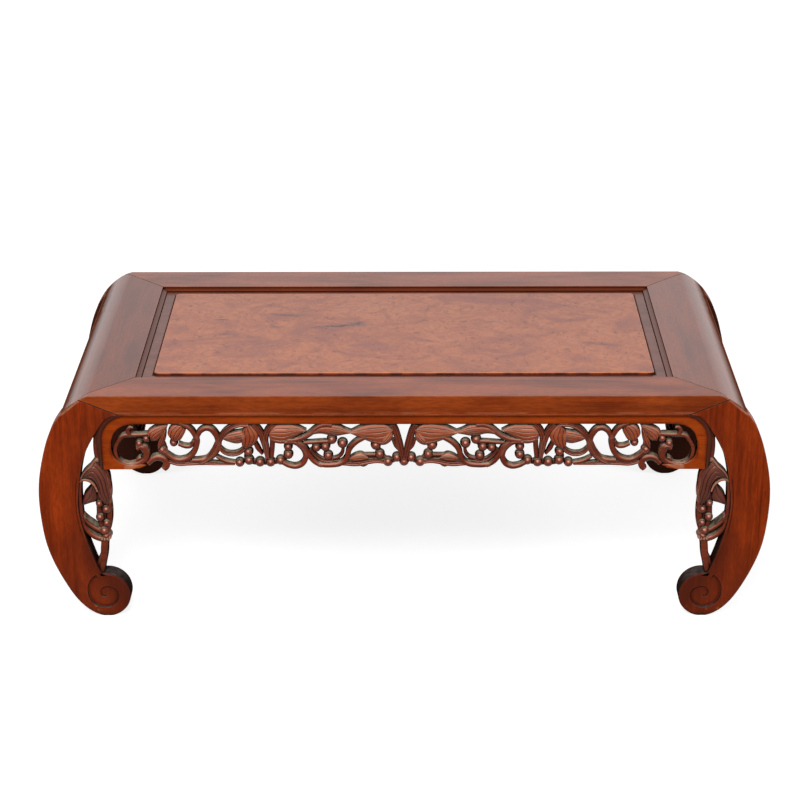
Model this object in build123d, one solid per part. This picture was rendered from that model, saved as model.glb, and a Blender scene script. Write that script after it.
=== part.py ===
from build123d import *
import os

# A low kang table of hardwood: a mitred frame with a floating board, C-shaped legs sawn from board, and
# pierced aprons and brackets between them. +X is the table's right, the front faces -Y, +Z is up, and the
# origin is on the floor under the middle of the table. All sizes are in millimetres.

# ---------------------------------------------------------------------------------------------------------
# Driving dimensions
# ---------------------------------------------------------------------------------------------------------

# The whole table
table_length = 940.0        # from leg bulge to leg bulge
table_depth = 480.0         # from the front face to the back face
table_height = 312.0        # from the floor to the top of the frame

# The mitred frame of the top
rail_thickness = 26.0
corner_inset = 58.2         # from the bulge in to the place where the plan mitre reaches the face
rail_flat_width = 65.3      # flat top of a rail, from the outside to the moulded edge
edge_bevel_width = 6.5      # sloping moulding round the recess
edge_bevel_drop = 4.0
recess_depth = 6.0          # from the top of the frame down to the margin of the board
joint_gap = 0.1             # clearance on each side of a glued tenon, tongue or dowel

# The floating board, the burl slab on it and the battens under it
board_thickness = 10.0
tongue_thickness = 5.0
tongue_lift = 1.5           # from the board's underside up to its tongue
tongue_length = 7.0
groove_depth = 9.0          # deeper than the tongue is long, so that the board can swell
board_shrink_gap = 0.5      # between the board's shoulder and the rails
board_margin = 15.0         # flat ledge between the rails and the burl slab
burl_thickness = 3.3
burl_corner_radius = 4.0
batten_width = 32.0
batten_height = 18.0
batten_inset = 100.0        # from the end rail in to the middle of the first batten
dovetail_height = 3.0
dovetail_flare = 2.0        # how much wider the dovetail is at its top, on each side
batten_tenon_length = 11.0
batten_tenon_thickness = 7.0
batten_tenon_width = 20.0
batten_tenon_lift = 1.5      # above the underside of the rail

# Legs, sawn from board
leg_thickness = 25.6
blade_width = 50.0          # across the C at the bulge
bulge_height = 165.0
shoulder_inset = 72.0       # from the bulge in to the point where the shoulder starts to fall
shoulder_foot_inset = 33.0  # from the bulge in to the shoulder where it passes the rail's underside
face_mitre_inset = 108.0    # from the bulge in to the inner end of the mitre between leg and rail
face_mitre_drop = 5.3       # from the top down to the outer end of that mitre
foot_radius = 31.0
foot_inset = 80.5           # from the bulge in to the middle of the scroll
foot_sink = 0.4             # sawn off the lowest point of the scroll, as a flat to stand on
foot_flat = 5.0             # how far the flat runs outward from the middle of the scroll
leg_tenon_length = 18.0
leg_tenon_width = 18.0
leg_tenon_thickness = 10.0
leg_tenon_inset = 12.0      # from the inner end of the face mitre to the tenon

# Aprons
apron_setback = 5.0         # behind the faces of the legs
apron_thickness = 12.0
apron_depth = 75.0          # from the rail's underside to the apron's lower corner
apron_corner_radius = 36.0
end_apron_inset = 40.0      # from the bulge in to the outer face of an end apron
apron_tongue_thickness = 5.0
apron_tongue_height = 4.0
apron_tongue_inset = 6.0    # from the end of the straight top edge to the tongue

# Brackets
bracket_setback = 3.0
bracket_thickness = 16.0
post_width = 9.5            # the bracket's upright beside the apron
post_inset = 82.5           # from the bulge in to the inner side of that upright
post_drop = 14.0            # from the rail down to where it is sawn off, inside the curve of the leg
stem_sink = 6.0             # how far the stem runs down past the top of the scroll, before it is scribed

# Tenons of the frame's corners, pegs and dowels
corner_tenon_length = 36.0
corner_tenon_width = 16.0
corner_tenon_thickness = 12.0
corner_tenon_lift = 6.0     # above the underside of the rail
corner_tenon_inset = 48.0   # from the face to the middle of the tenon
peg_radius = 3.0
peg_length = 20.0
peg_place = 22.0            # from the mitre along the tenon to the peg
dowel_radius = 1.6
dowel_length = 22.0
side_dowel_height = 199.0
side_dowel_offset = 3.0     # from the blade's inner edge at the bulge to the middle of the dowel
foot_dowel_offset = 3.0     # from the middle of the scroll to the dowel, outward

# ---------------------------------------------------------------------------------------------------------
# Places worked out from them
# ---------------------------------------------------------------------------------------------------------

bulge = table_length / 2
face = table_depth / 2
rail_underside = table_height - rail_thickness
corner_x = bulge - corner_inset
wall_x = corner_x - rail_flat_width - edge_bevel_width
wall_y = face - rail_flat_width - edge_bevel_width
board_top = table_height - recess_depth
board_underside = board_top - board_thickness
tongue_bottom = board_underside + tongue_lift
leg_back = face - leg_thickness
foot_x = bulge - foot_inset
foot_z = foot_radius - foot_sink
foot_top = foot_z + foot_radius
blade_inner = bulge - blade_width
face_mitre_x = bulge - face_mitre_inset
face_mitre_top = table_height - face_mitre_drop
post_x = bulge - post_inset
apron_half = post_x - joint_gap
end_apron_half = leg_back - joint_gap
apron_face_y = face - apron_setback
end_apron_x = bulge - end_apron_inset
bracket_y = face - bracket_setback - bracket_thickness / 2
beyond = 2 * table_length   # larger than anything in the table, for cutting tools
clear = 1.0                 # how far a tool or a root passes the surface it starts from

# ---------------------------------------------------------------------------------------------------------
# Small tools
# ---------------------------------------------------------------------------------------------------------


def block(x_span, y_span, z_span):
    """A box between two values along each axis."""
    spans = (x_span, y_span, z_span)
    middle = [(low + high) / 2 for low, high in spans]
    return Pos(*middle) * Box(*[high - low for low, high in spans])


def upright(points):
    """Points drawn as (x, z), as points of the XZ plane."""
    return [Vector(x, 0, z) for x, z in points]


def along_y(edges, y_span):
    """The solid of a closed outline in the XZ plane, between two values along Y."""
    drawn = make_face(edges)
    return extrude(Pos(0, y_span[0], 0) * drawn, y_span[1] - y_span[0], dir=(0, 1, 0))


def left_right(shape):
    """The shape and its mirror image at the other end of the table."""
    return [shape, mirror(shape, about=Plane.YZ)]


def back_front(shape):
    """The shape and its mirror image on the other side of the table."""
    return [shape, mirror(shape, about=Plane.XZ)]


# ---------------------------------------------------------------------------------------------------------
# Legs. The back right leg is drawn, and the others are its mirror images.
# ---------------------------------------------------------------------------------------------------------

# The outer edge, from the flat top over the shoulder and the bulge to the floor.
outer_edge = Spline(
    *upright([
        (bulge - shoulder_inset, table_height),
        (bulge - shoulder_inset + 7, table_height - 2),
        (corner_x, face_mitre_top),
        (bulge - shoulder_foot_inset - 4, rail_underside + 3.7),
        (bulge - 21, rail_underside - 20),
        (bulge - 9, rail_underside - 55),
        (bulge - 1.5, bulge_height + 28),
        (bulge, bulge_height),
        (bulge - 1.5, bulge_height - 28),
        (bulge - 6, bulge_height - 60),
        (foot_x + 53.5, foot_z + 19),
        (foot_x + 25, foot_z - 21),
        (foot_x + 12.6, foot_z - 28.4),
        (foot_x + foot_flat, 0),
    ])
)

# The inner edge, from the top of the scroll up to the corner under the rail.
inner_edge = Spline(
    *upright([
        (foot_x + 4, foot_top - 2),
        (foot_x + 12, foot_top + 16),
        (blade_inner - 12, bulge_height - 67),
        (blade_inner - 4, bulge_height - 37),
        (blade_inner, bulge_height - 8),
        (blade_inner - 3, bulge_height + 25),
        (blade_inner - 14, rail_underside - 51),
        (blade_inner - 30, rail_underside - 22),
        (face_mitre_x + 17, rail_underside - 7.5),
        (face_mitre_x, rail_underside),
    ])
)
head_outline = Polyline(*upright([
    (face_mitre_x, rail_underside),
    (face_mitre_x, table_height),
    (bulge - shoulder_inset, table_height),
]))
foot_outline = Polyline(*upright([
    (foot_x + foot_flat, 0),
    (foot_x, 0),
    (foot_x, foot_top - 2),
    (foot_x + 4, foot_top - 2),
]))


def leg_board():
    """The C and its scroll foot as sawn from board, before the joints at its head are cut."""
    blade = along_y([outer_edge, foot_outline, inner_edge, head_outline], (leg_back, face))
    middle_y = (leg_back + face) / 2
    scroll = Pos(foot_x, middle_y, foot_z) * Rot(90, 0, 0) * Cylinder(foot_radius, leg_thickness)
    below_floor = block((0, beyond), (0, beyond), (-beyond, 0))
    return blade + scroll - below_floor


def head_cuts():
    """What the rails take from the head: the mitre on the face, and the slope under the end rail."""
    longer = 1.3            # the mitre's line runs on past the shoulder by this much
    over = (corner_x - face_mitre_x) * longer
    rise = (face_mitre_top - rail_underside) * longer
    above_mitre = along_y(
        Polyline(
            *upright([
                (face_mitre_x, rail_underside),
                (face_mitre_x + over, rail_underside + rise),
                (face_mitre_x - clear, rail_underside + rise),
                (face_mitre_x - clear, rail_underside),
                (face_mitre_x, rail_underside),
            ])
        ),
        (leg_back - clear, face + clear),
    )
    # The slope starts at the chord of the shoulder on the face, and falls at 45 degrees behind it.
    run = bulge - shoulder_foot_inset - corner_x
    drop = face_mitre_top - rail_underside
    slope = Plane(
        origin=(corner_x, face, face_mitre_top),
        x_dir=(run, 0, -drop),
        z_dir=Vector(drop, 0, run).normalized() + Vector(0, -1, 0),
    )
    over_slope = slope * Box(beyond, beyond, beyond, align=(Align.CENTER, Align.CENTER, Align.MIN))
    over_seat = block((0, beyond), (0, beyond), (rail_underside, beyond))
    return above_mitre, over_slope & over_seat


def leg_tenon(gap=0.0):
    """The tenon that stands up from the head into the long rail. With a gap, it is the mortise."""
    start = face_mitre_x + leg_tenon_inset
    middle = face - leg_thickness / 2
    reach = leg_tenon_thickness / 2 + gap
    return block(
        (start - gap, start + leg_tenon_width + gap),
        (middle - reach, middle + reach),
        (rail_underside - clear, rail_underside + leg_tenon_length + gap),
    )


def foot_dowel(radius, extra=0.0):
    """The upright dowel between the bracket's stem and the scroll."""
    return Pos(foot_x + foot_dowel_offset, bracket_y, foot_top) * Cylinder(radius, dowel_length + extra)


def side_dowel(radius, extra=0.0):
    """The level dowel between the bracket's leaf and the inner edge of the leg."""
    place = Pos(blade_inner - side_dowel_offset, bracket_y, side_dowel_height)
    return place * Rot(0, 90, 0) * Cylinder(radius, dowel_length + extra)


bare_leg = leg_board()
for cut in head_cuts():
    bare_leg -= cut
dowel_holes = [hole(dowel_radius + joint_gap, 2 * joint_gap) for hole in (foot_dowel, side_dowel)]
leg = bare_leg + leg_tenon() - dowel_holes

# ---------------------------------------------------------------------------------------------------------
# The frame of the top. The back rail and the right end rail are drawn.
# ---------------------------------------------------------------------------------------------------------


def mitre_side(y_align):
    """All that lies on one side of the 45 degree mitre in plan, at the back right corner."""
    tool = Box(beyond, beyond, beyond, align=(Align.CENTER, y_align, Align.CENTER))
    return Pos(corner_x, face, 0) * Rot(0, 0, 45) * tool


def rail_section(wall, outside):
    """A rail's section as (distance from the middle, height): groove, moulding, flat top and outside."""
    groove_top = tongue_bottom + tongue_thickness + joint_gap
    points = [
        (wall, rail_underside),
        (wall, tongue_bottom),
        (wall + groove_depth, tongue_bottom),
        (wall + groove_depth, groove_top),
        (wall, groove_top),
        (wall, table_height - edge_bevel_drop),
        (wall + edge_bevel_width, table_height),
        (outside, table_height),
        (outside, rail_underside),
    ]
    return points + points[:1]


def inside_shoulder():
    """Everything inside the outer edge of the right legs."""
    inside = Polyline(*upright([
        (foot_x + foot_flat, 0),
        (-beyond, 0),
        (-beyond, beyond),
        (bulge - shoulder_inset, beyond),
        (bulge - shoulder_inset, table_height),
    ]))
    return along_y([outer_edge, inside], (-face, face))


def corner_tenon(gap=0.0):
    """The tenon of a long rail, which runs through the mitre into the end rail."""
    middle = face - corner_tenon_inset
    mitre = corner_x - corner_tenon_inset
    low = rail_underside + corner_tenon_lift
    reach = corner_tenon_width / 2 + gap
    return block(
        (mitre - corner_tenon_width, mitre + corner_tenon_length + gap),
        (middle - reach, middle + reach),
        (low - gap, low + corner_tenon_thickness + gap),
    )


def corner_peg(radius, extra=0.0):
    """The peg that locks a corner tenon, driven in from below."""
    x = corner_x - corner_tenon_inset + peg_place
    standing = Cylinder(radius, peg_length + extra, align=(Align.CENTER, Align.CENTER, Align.MIN))
    return Pos(x, face - corner_tenon_inset, rail_underside) * standing


def batten_tenon(x, gap=0.0):
    """The tenon of a batten in the back rail."""
    reach = batten_tenon_width / 2 + gap
    low = rail_underside + batten_tenon_lift
    return block(
        (x - reach, x + reach),
        (wall_y - clear, wall_y + batten_tenon_length + gap),
        (low - gap, low + batten_tenon_thickness + gap),
    )


def apron_tongue(half_length, gap=0.0):
    """The tongue on an apron's top edge, with the apron's outer face at y = 0 and its top at z = 0."""
    reach = apron_tongue_thickness / 2 + gap
    ends = half_length - apron_corner_radius - apron_tongue_inset + gap
    middle = -apron_thickness / 2
    return block((-ends, ends), (middle - reach, middle + reach), (-clear, apron_tongue_height + gap))


long_apron_place = Pos(0, apron_face_y, rail_underside)
end_apron_place = Pos(end_apron_x, 0, rail_underside) * Rot(0, 0, -90)
batten_places = [batten_inset - wall_x, 0, wall_x - batten_inset]


def long_rail():
    points = [Vector(-bulge, y, z) for y, z in rail_section(wall_y, face)]
    rail = extrude(make_face(Polyline(*points)), table_length, dir=(1, 0, 0))
    for side in left_right(inside_shoulder()) + left_right(mitre_side(Align.MIN)):
        rail &= side
    for tenon in left_right(corner_tenon()):
        rail += tenon
    rail -= long_apron_place * apron_tongue(apron_half, joint_gap)
    for x in batten_places:
        rail -= batten_tenon(x, joint_gap)
    for take in (bare_leg, leg_tenon(joint_gap), corner_peg(peg_radius + joint_gap, joint_gap)):
        for side in left_right(take):
            rail -= side
    return rail


def end_rail():
    rail = along_y(Polyline(*upright(rail_section(wall_x, bulge))), (-face, face)) & inside_shoulder()
    for side in back_front(mitre_side(Align.MAX)):
        rail &= side
    rail -= end_apron_place * apron_tongue(end_apron_half, joint_gap)
    for take in (bare_leg, corner_tenon(joint_gap), corner_peg(peg_radius + joint_gap, joint_gap)):
        for side in back_front(take):
            rail -= side
    return rail


# ---------------------------------------------------------------------------------------------------------
# The floating board, its battens and the burl slab
# ---------------------------------------------------------------------------------------------------------


def batten_dovetail(x, gap=0.0):
    """The dovetail along the top of a batten. With a gap, it is the housing in the board."""
    narrow = batten_width / 2 - dovetail_flare + gap
    wide = batten_width / 2 + gap
    low = board_underside
    high = board_underside + dovetail_height + gap
    outline = Polyline(*upright([
        (x - narrow, low), (x + narrow, low), (x + wide, high), (x - wide, high), (x - narrow, low),
    ]))
    return along_y(outline, (-wall_y - gap, wall_y + gap))


def batten(x):
    body = block(
        (x - batten_width / 2, x + batten_width / 2),
        (-wall_y, wall_y),
        (board_underside - batten_height, board_underside),
    )
    short = block((-bulge, bulge), (clear - wall_y, wall_y - clear), (0, table_height))
    piece = body + (batten_dovetail(x) & short)
    for tenon in back_front(batten_tenon(x)):
        piece += tenon
    return piece


def panel_board():
    half_x = wall_x - board_shrink_gap
    half_y = wall_y - board_shrink_gap
    board = block((-half_x, half_x), (-half_y, half_y), (board_underside, board_top))
    reach_x = wall_x + tongue_length
    reach_y = wall_y + tongue_length
    board += block(
        (-reach_x, reach_x), (-reach_y, reach_y), (tongue_bottom, tongue_bottom + tongue_thickness)
    )
    for x in batten_places:
        board -= batten_dovetail(x, joint_gap)
    return board


def burl_panel():
    length = 2 * (wall_x - board_margin)
    depth = 2 * (wall_y - board_margin)
    slab = extrude(RectangleRounded(length, depth, burl_corner_radius), burl_thickness)
    return Pos(0, 0, board_top) * slab


# ---------------------------------------------------------------------------------------------------------
# Aprons: flat boards pierced with windows between the vines, leaves and grapes of the carving
# ---------------------------------------------------------------------------------------------------------

# The pattern is drawn for the right half of a long apron, on a board of this size. Each point is the
# distance from the middle of the table and the height above the apron's lower corner.
pattern_half = 387.4
pattern_depth = 75.0
pattern_end_middle = 178.5  # the pair of stems that stands in the middle of an end apron

end_windows = [
    [(374.5, 34), (372, 47.5), (363, 58), (354.5, 62.5), (354, 55), (361.5, 46), (369.5, 38)],
    [(366, 28), (359, 38), (347, 42), (342, 38), (342, 31), (339, 22), (343, 12), (352, 9.5), (363, 14)],
    [(347, 61), (341, 52.5), (333, 51), (326, 56), (322, 62), (335, 63.5)],
    [(326, 36), (319, 38), (314.5, 32), (317, 25), (324, 27)],
    [(299.5, 29), (290, 30.5), (272, 25), (277, 18.5), (290, 16), (298, 20)],
    [(279, 54), (270.5, 44), (273, 36.5), (283, 36), (286, 42), (282, 49)],
    [(273, 64), (263.5, 53), (251, 64)],
    [(259.5, 44), (252, 48), (244, 40), (245, 29), (252, 18), (265, 15.5), (264, 25)],
    [(244, 64), (235.5, 55), (226, 64)],
    [(219, 52.5), (211, 56.5), (202.5, 56), (208, 52.5)],
    [(231, 38), (221, 35), (208, 32), (213, 27), (226, 26)],
    [(236, 19.5), (222, 19), (208, 20), (205, 16), (216, 12), (230, 14)],
    [(193, 30), (188, 31), (181.5, 20.5), (184, 16), (191, 16.5)],
]
stem_window = [(187, 64), (178.5, 55.5), (170, 64)]
middle_windows = [
    [(166, 34.5), (155.5, 34.5), (154.5, 24), (162.5, 16.5), (167, 23)],
    [(143, 33), (134, 29.5), (128.5, 20), (133, 10.5), (143, 10), (144, 22)],
    [(134, 64), (124.5, 58), (131, 48), (127, 46), (116, 54), (110, 62), (121, 65)],
    [(123, 37.5), (112, 47.5), (101, 49), (98, 44), (106, 38), (115, 36.5)],
    [(118.5, 25), (110, 21.5), (105, 25), (102.5, 19), (107, 12.5), (115, 16)],
    [(91, 34), (85, 33.5), (78, 27), (73.5, 26), (75.5, 17), (84, 12), (91.5, 16), (89, 25)],
    [(83, 46.5), (69, 49), (60.5, 44.5), (66.5, 38.5), (73, 43)],
    [(83, 64), (69, 56.5), (53, 64)],
    [(44.5, 41), (52, 41), (66, 26.5), (64, 21.5), (50, 22.5), (38.5, 20), (38, 25), (43.5, 32)],
    [(28.5, 34.5), (16.5, 40), (9, 28), (14.5, 23), (20, 17.5), (25.5, 24.5)],
]
middle_window = [(14, 64), (0, 48), (-14, 64)]

# The scalloped lower edge, from the hook at the apron's end in to the middle.
corner_foot = (385, 0)      # the lower corner stands in a little from the apron's side
end_scallops = [
    (352, 0), (341, 2.5), (333, 7.5), (328, 11), (317, 13), (310, 9), (307, 2), (299, 8), (288, 3.5),
    (262, 3), (222, 4), (211, 2), (205, 5.5), (199, 4.5), (192, 7),
]
end_middle_scallop = (178.5, 3)
middle_scallops = [
    (185, 2.5), (178, 6.5), (171, 2.5), (164, 7.5), (158, 4.5), (147, 5.5), (138, 2.5), (130, 6),
    (123, 10.5), (116, 6), (109, 2.5), (100, 4.5), (80, 6), (56, 6), (45, 8.5), (28, 8.5), (20.5, 3.5),
    (11.5, 8.5), (0, 3),
]


def pierced_apron(half_length, middle, paired_windows, single_window, scallops):
    """An apron with its outer face at y = 0 and its top edge at z = 0, symmetrical about x = 0."""
    stretch = half_length / (pattern_half - middle)
    deepen = apron_depth / pattern_depth

    def place(point, side):
        along, height = point
        return Vector(side * (along - middle) * stretch, 0, (height - pattern_depth) * deepen)

    def half_outline(side):
        turn_x = half_length - apron_corner_radius
        middle_of_turn = (side * turn_x, 0, -apron_corner_radius)
        turn_plane = Plane(origin=middle_of_turn, x_dir=(side, 0, 0), z_dir=(0, -side, 0))
        corner = turn_plane * CenterArc((0, 0), apron_corner_radius, 0, 90)
        return [
            Line((0, 0, 0), (side * turn_x, 0, 0)),
            corner,
            Polyline(
                Vector(side * half_length, 0, -apron_corner_radius),
                place(corner_foot, side),
                place(scallops[0], side),
            ),
            Spline(*[place(point, side) for point in scallops]),
        ]

    def window(points, side):
        placed = [place(point, side) for point in points]
        if len(points) == 3:
            return Wire(Polyline(*placed, placed[0]).edges())
        return Wire([Spline(*placed, periodic=True)])

    outline = make_face(half_outline(1) + half_outline(-1)).face()
    windows = [window(points, side) for points in paired_windows for side in (1, -1)]
    windows.append(window(single_window, 1))
    board = extrude(outline.make_holes(windows), apron_thickness, dir=(0, -1, 0))
    return board + apron_tongue(half_length)


def long_apron():
    windows = end_windows + [stem_window] + middle_windows
    scallops = end_scallops + middle_scallops
    return long_apron_place * pierced_apron(apron_half, 0, windows, middle_window, scallops)


def end_apron():
    scallops = end_scallops + [end_middle_scallop]
    drawn = pierced_apron(end_apron_half, pattern_end_middle, end_windows, stem_window, scallops)
    return end_apron_place * drawn


# ---------------------------------------------------------------------------------------------------------
# Brackets: a carved upright in the C of each leg, with a leaf, a bunch of grapes and a stem
# ---------------------------------------------------------------------------------------------------------

# Drawn as (inset from the bulge, height above the scroll), on a height of this much up to the rail.
bracket_drawn_height = 225.0

# The side towards the middle of the table, from below the apron's corner down to the stem's foot.
bracket_right = [
    (post_inset, 151.5), (86, 147), (91, 139.5), (91.5, 129), (94, 115), (90.5, 99), (93, 89), (92, 79),
    (89, 66), (89.5, 53), (85.5, 43), (85, 31), (83, 17), (81, 0),
]
# The side towards the leg, from the stem's foot up to where it meets the leg.
bracket_left = [(71, 0), (73, 15), (75, 29), (73.5, 41), (66, 49), (58, 54.5), (47, 57)]
# The side towards the leg above their contact, up to the slender post.
bracket_leaf = [(47, 144), (59, 147), (67, 154), (post_inset - post_width, 162)]
bracket_windows = [
    [(59.5, 127), (64, 125.5), (62.5, 119), (57, 114)],
    [(58, 96), (67, 98), (71, 93), (69, 85), (70.5, 76), (74, 71), (66, 70), (60, 80)],
]


def bracket():
    grow = (rail_underside - foot_top) / bracket_drawn_height

    def place(points):
        return upright([(bulge - inset, foot_top + height * grow) for inset, height in points])

    post_top = bracket_drawn_height - post_drop
    post = [(post_inset - post_width, post_top), (post_inset, post_top)]
    stem = [(inset, -stem_sink) for inset, height in (bracket_right[-1], bracket_left[0])]
    outline = [
        Polyline(*place([bracket_leaf[-1], *post, bracket_right[0]])),
        Spline(*place(bracket_right)),
        Polyline(*place([bracket_right[-1], *stem, bracket_left[0]])),
        Spline(*place(bracket_left)),
        Polyline(*place([bracket_left[-1], bracket_leaf[0]])),
        Spline(*place(bracket_leaf)),
    ]
    y_span = (bracket_y - bracket_thickness / 2, bracket_y + bracket_thickness / 2)
    piece = along_y(outline, y_span)
    for points in bracket_windows:
        piece -= along_y([Spline(*place(points), periodic=True)], y_span)
    return piece - bare_leg - dowel_holes


# ---------------------------------------------------------------------------------------------------------
# The pieces, each written to its own file
# ---------------------------------------------------------------------------------------------------------


def four_corners(shape):
    """The shape at the back right, back left, front right and front left corner."""
    return [placed for row in back_front(shape) for placed in left_right(row)]


corner_names = ["back_right", "back_left", "front_right", "front_left"]
pieces = {}
pieces["back_rail"], pieces["front_rail"] = back_front(long_rail())
pieces["right_end_rail"], pieces["left_end_rail"] = left_right(end_rail())
pieces["panel_board"] = panel_board()
pieces["burl_panel"] = burl_panel()
for name, x in zip(["left_batten", "middle_batten", "right_batten"], batten_places):
    pieces[name] = batten(x)
for name, placed in zip(corner_names, four_corners(leg)):
    pieces[name + "_leg"] = placed
for name, placed in zip(corner_names, four_corners(bracket())):
    pieces[name + "_bracket"] = placed
pieces["back_apron"], pieces["front_apron"] = back_front(long_apron())
pieces["right_end_apron"], pieces["left_end_apron"] = left_right(end_apron())
pieces["frame_pegs"] = Compound(four_corners(corner_peg(peg_radius)))
dowels = four_corners(foot_dowel(dowel_radius)) + four_corners(side_dowel(dowel_radius))
pieces["bracket_dowels"] = Compound(dowels)

os.makedirs("parts", exist_ok=True)
for name, piece in pieces.items():
    export_step(piece, "parts/" + name + ".step")
    print(name, "written")
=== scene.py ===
# %% [markdown]
# # A carved kang table
#
# This notebook dresses a low hardwood table. Its joinery is already there as a frame of plain solids, and
# each cell below turns one part of it into something that looks worked by hand: softened arrises, a carved
# scroll on each foot, grapevines between the legs, and old waxed wood on all of it.
#
# Everything is in metres, with the origin on the floor under the middle of the table, the front facing -Y
# and +Z up. Sizes that a joiner would give in millimetres are multiplied by `mm`.

# %% Load the plain solids
from math import cos, pi, radians, sin

import bpy
from mathutils import Matrix, Vector


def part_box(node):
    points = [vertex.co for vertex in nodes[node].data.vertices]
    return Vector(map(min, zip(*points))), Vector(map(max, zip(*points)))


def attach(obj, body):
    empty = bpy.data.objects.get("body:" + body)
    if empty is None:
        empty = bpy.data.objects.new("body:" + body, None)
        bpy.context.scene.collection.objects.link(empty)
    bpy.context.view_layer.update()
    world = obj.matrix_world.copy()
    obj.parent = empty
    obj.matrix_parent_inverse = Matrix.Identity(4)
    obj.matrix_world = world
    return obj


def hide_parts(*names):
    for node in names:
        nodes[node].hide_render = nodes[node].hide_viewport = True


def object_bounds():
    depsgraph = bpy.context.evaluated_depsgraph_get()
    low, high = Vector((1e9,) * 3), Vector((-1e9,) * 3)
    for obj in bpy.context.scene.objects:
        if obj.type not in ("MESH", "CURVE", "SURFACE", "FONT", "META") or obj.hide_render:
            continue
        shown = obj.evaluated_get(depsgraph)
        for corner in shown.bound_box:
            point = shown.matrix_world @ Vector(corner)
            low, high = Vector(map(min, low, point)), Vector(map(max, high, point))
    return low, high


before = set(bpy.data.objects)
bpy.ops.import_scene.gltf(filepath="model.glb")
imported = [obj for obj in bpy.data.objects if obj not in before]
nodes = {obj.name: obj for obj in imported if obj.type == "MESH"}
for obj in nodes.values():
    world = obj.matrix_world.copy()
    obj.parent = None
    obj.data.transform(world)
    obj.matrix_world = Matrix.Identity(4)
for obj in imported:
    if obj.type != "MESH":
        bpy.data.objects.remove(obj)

mm = 0.001
cad_box = [list(corner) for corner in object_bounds()]
rail_low, rail_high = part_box("front_rail")
burl_low, burl_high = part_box("burl_panel")
rail_underside = rail_low.z / mm
table_top = rail_high.z / mm
front_face = -rail_low.y / mm
size_in_mm = [round((high - low) / mm, 1) for low, high in zip(*cad_box)]
print("solids:", len(nodes), "size in mm:", size_in_mm)

# %% [markdown]
# ## The camera
#
# The table is seen from in front and a little above, from far enough away that its edges stay nearly
# parallel. A long lens does that: about 100 mm on a 36 mm sensor, from 2.8 m. The camera's turn is built
# from three plain turns, so that each can be read: tilt down, turn a hair to the left, and a trace of roll.

# %% Place the camera
image_side = 800
focal_pixels = 2227.05
sensor_width = 36.0
eye = Vector((11.3, -2838.6, 1376.3)) * mm
tilt_down = radians(22.373)
turn_left = radians(0.3555)
roll = radians(-0.19)

camera_data = bpy.data.cameras.new("camera")
camera_data.sensor_width = sensor_width
camera_data.lens = focal_pixels * sensor_width / image_side
camera = bpy.data.objects.new("camera", camera_data)
camera.matrix_world = (
    Matrix.Translation(eye)
    @ Matrix.Rotation(turn_left, 4, "Z")
    @ Matrix.Rotation(pi / 2 - tilt_down, 4, "X")
    @ Matrix.Rotation(roll, 4, "Z")
)
bpy.context.scene.collection.objects.link(camera)
bpy.context.scene.camera = camera
print("lens", round(camera_data.lens, 1), "mm")

# %% [markdown]
# ## Nodes in a few words
#
# A finish is worked out for each point of a surface by a tree of small nodes. To wire them one by one takes
# many lines, so each helper here adds one kind of node, links what feeds it and gives back its output. What
# feeds a sum is another node's output or a plain number.

# %% Add nodes and sums


def add_node(tree, kind, settings=None, **inputs):
    """A node with its settings and the values of its unlinked inputs. A space in a name is written _."""
    node = tree.nodes.new("ShaderNode" + kind)
    for key, value in (settings or {}).items():
        setattr(node, key, value)
    for key, value in inputs.items():
        node.inputs[key.replace("_", " ")].default_value = value
    return node


def calculate(tree, operation, first, second=0.0):
    """A Math node. Each operand is an output or a plain number."""
    node = add_node(tree, "Math", {"operation": operation})
    for socket, operand in zip(node.inputs, (first, second)):
        if isinstance(operand, (int, float)):
            socket.default_value = operand
        else:
            tree.links.new(operand, socket)
    return node.outputs[0]


def plus(tree, first, second):
    return calculate(tree, "ADD", first, second)


def minus(tree, first, second):
    return calculate(tree, "SUBTRACT", first, second)


def times(tree, first, second):
    return calculate(tree, "MULTIPLY", first, second)


def larger(tree, first, second):
    return calculate(tree, "MAXIMUM", first, second)


def unsigned(tree, value):
    return calculate(tree, "ABSOLUTE", value)


def remap(tree, value, low, high, to_low=0.0, to_high=1.0):
    """Stretches a value from low..high to 0..1, or to the range given."""
    node = add_node(tree, "MapRange", From_Min=low, From_Max=high, To_Min=to_low, To_Max=to_high)
    tree.links.new(value, node.inputs["Value"])
    return node.outputs[0]


def parts_of(tree, vector):
    """The X, Y and Z of a place or a direction."""
    split = add_node(tree, "SeparateXYZ")
    tree.links.new(vector, split.inputs[0])
    return split.outputs


def length_of(tree, vector):
    node = add_node(tree, "VectorMath", {"operation": "LENGTH"})
    tree.links.new(vector, node.inputs[0])
    return node.outputs["Value"]


def own_place(tree):
    """Where a point lies on the table."""
    return add_node(tree, "TexCoord").outputs["Object"]


def own_normal(tree):
    """The X, Y and Z of the way the surface faces."""
    return parts_of(tree, add_node(tree, "NewGeometry").outputs["Normal"])


print("node helpers ready")

# %% [markdown]
# ## Floor and light
#
# A studio floor for furniture is a pale sweep of paper. It keeps the table's soft shadow, and what the eye
# or a polished surface sees of it is lifted to white by an emission that only those rays meet, so the wood
# gets no extra light from it. The lift grows with the distance from the table, where the lamps reach less.
# The lamps are one big soft panel above the front, a smaller one at each end, a little one straight in front
# that puts a spark on each grape, and a dim even sky.

# %% Lay the floor and set the lamps
floor_side = 24.0
paper_grey = 0.42
lift_distances = (0.5, 3.0)
lift_strengths = (0.79, 0.92)
sky_strength = 0.37
bpy.context.scene.view_settings.view_transform = "Standard"


def seen_rays(tree):
    """1 for rays from the eye, from a gloss and through glass, and 0 for the rays that light things."""
    path = add_node(tree, "LightPath").outputs
    eye_or_gloss = larger(tree, path["Is Camera Ray"], path["Is Glossy Ray"])
    return larger(tree, eye_or_gloss, path["Is Transmission Ray"])


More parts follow.
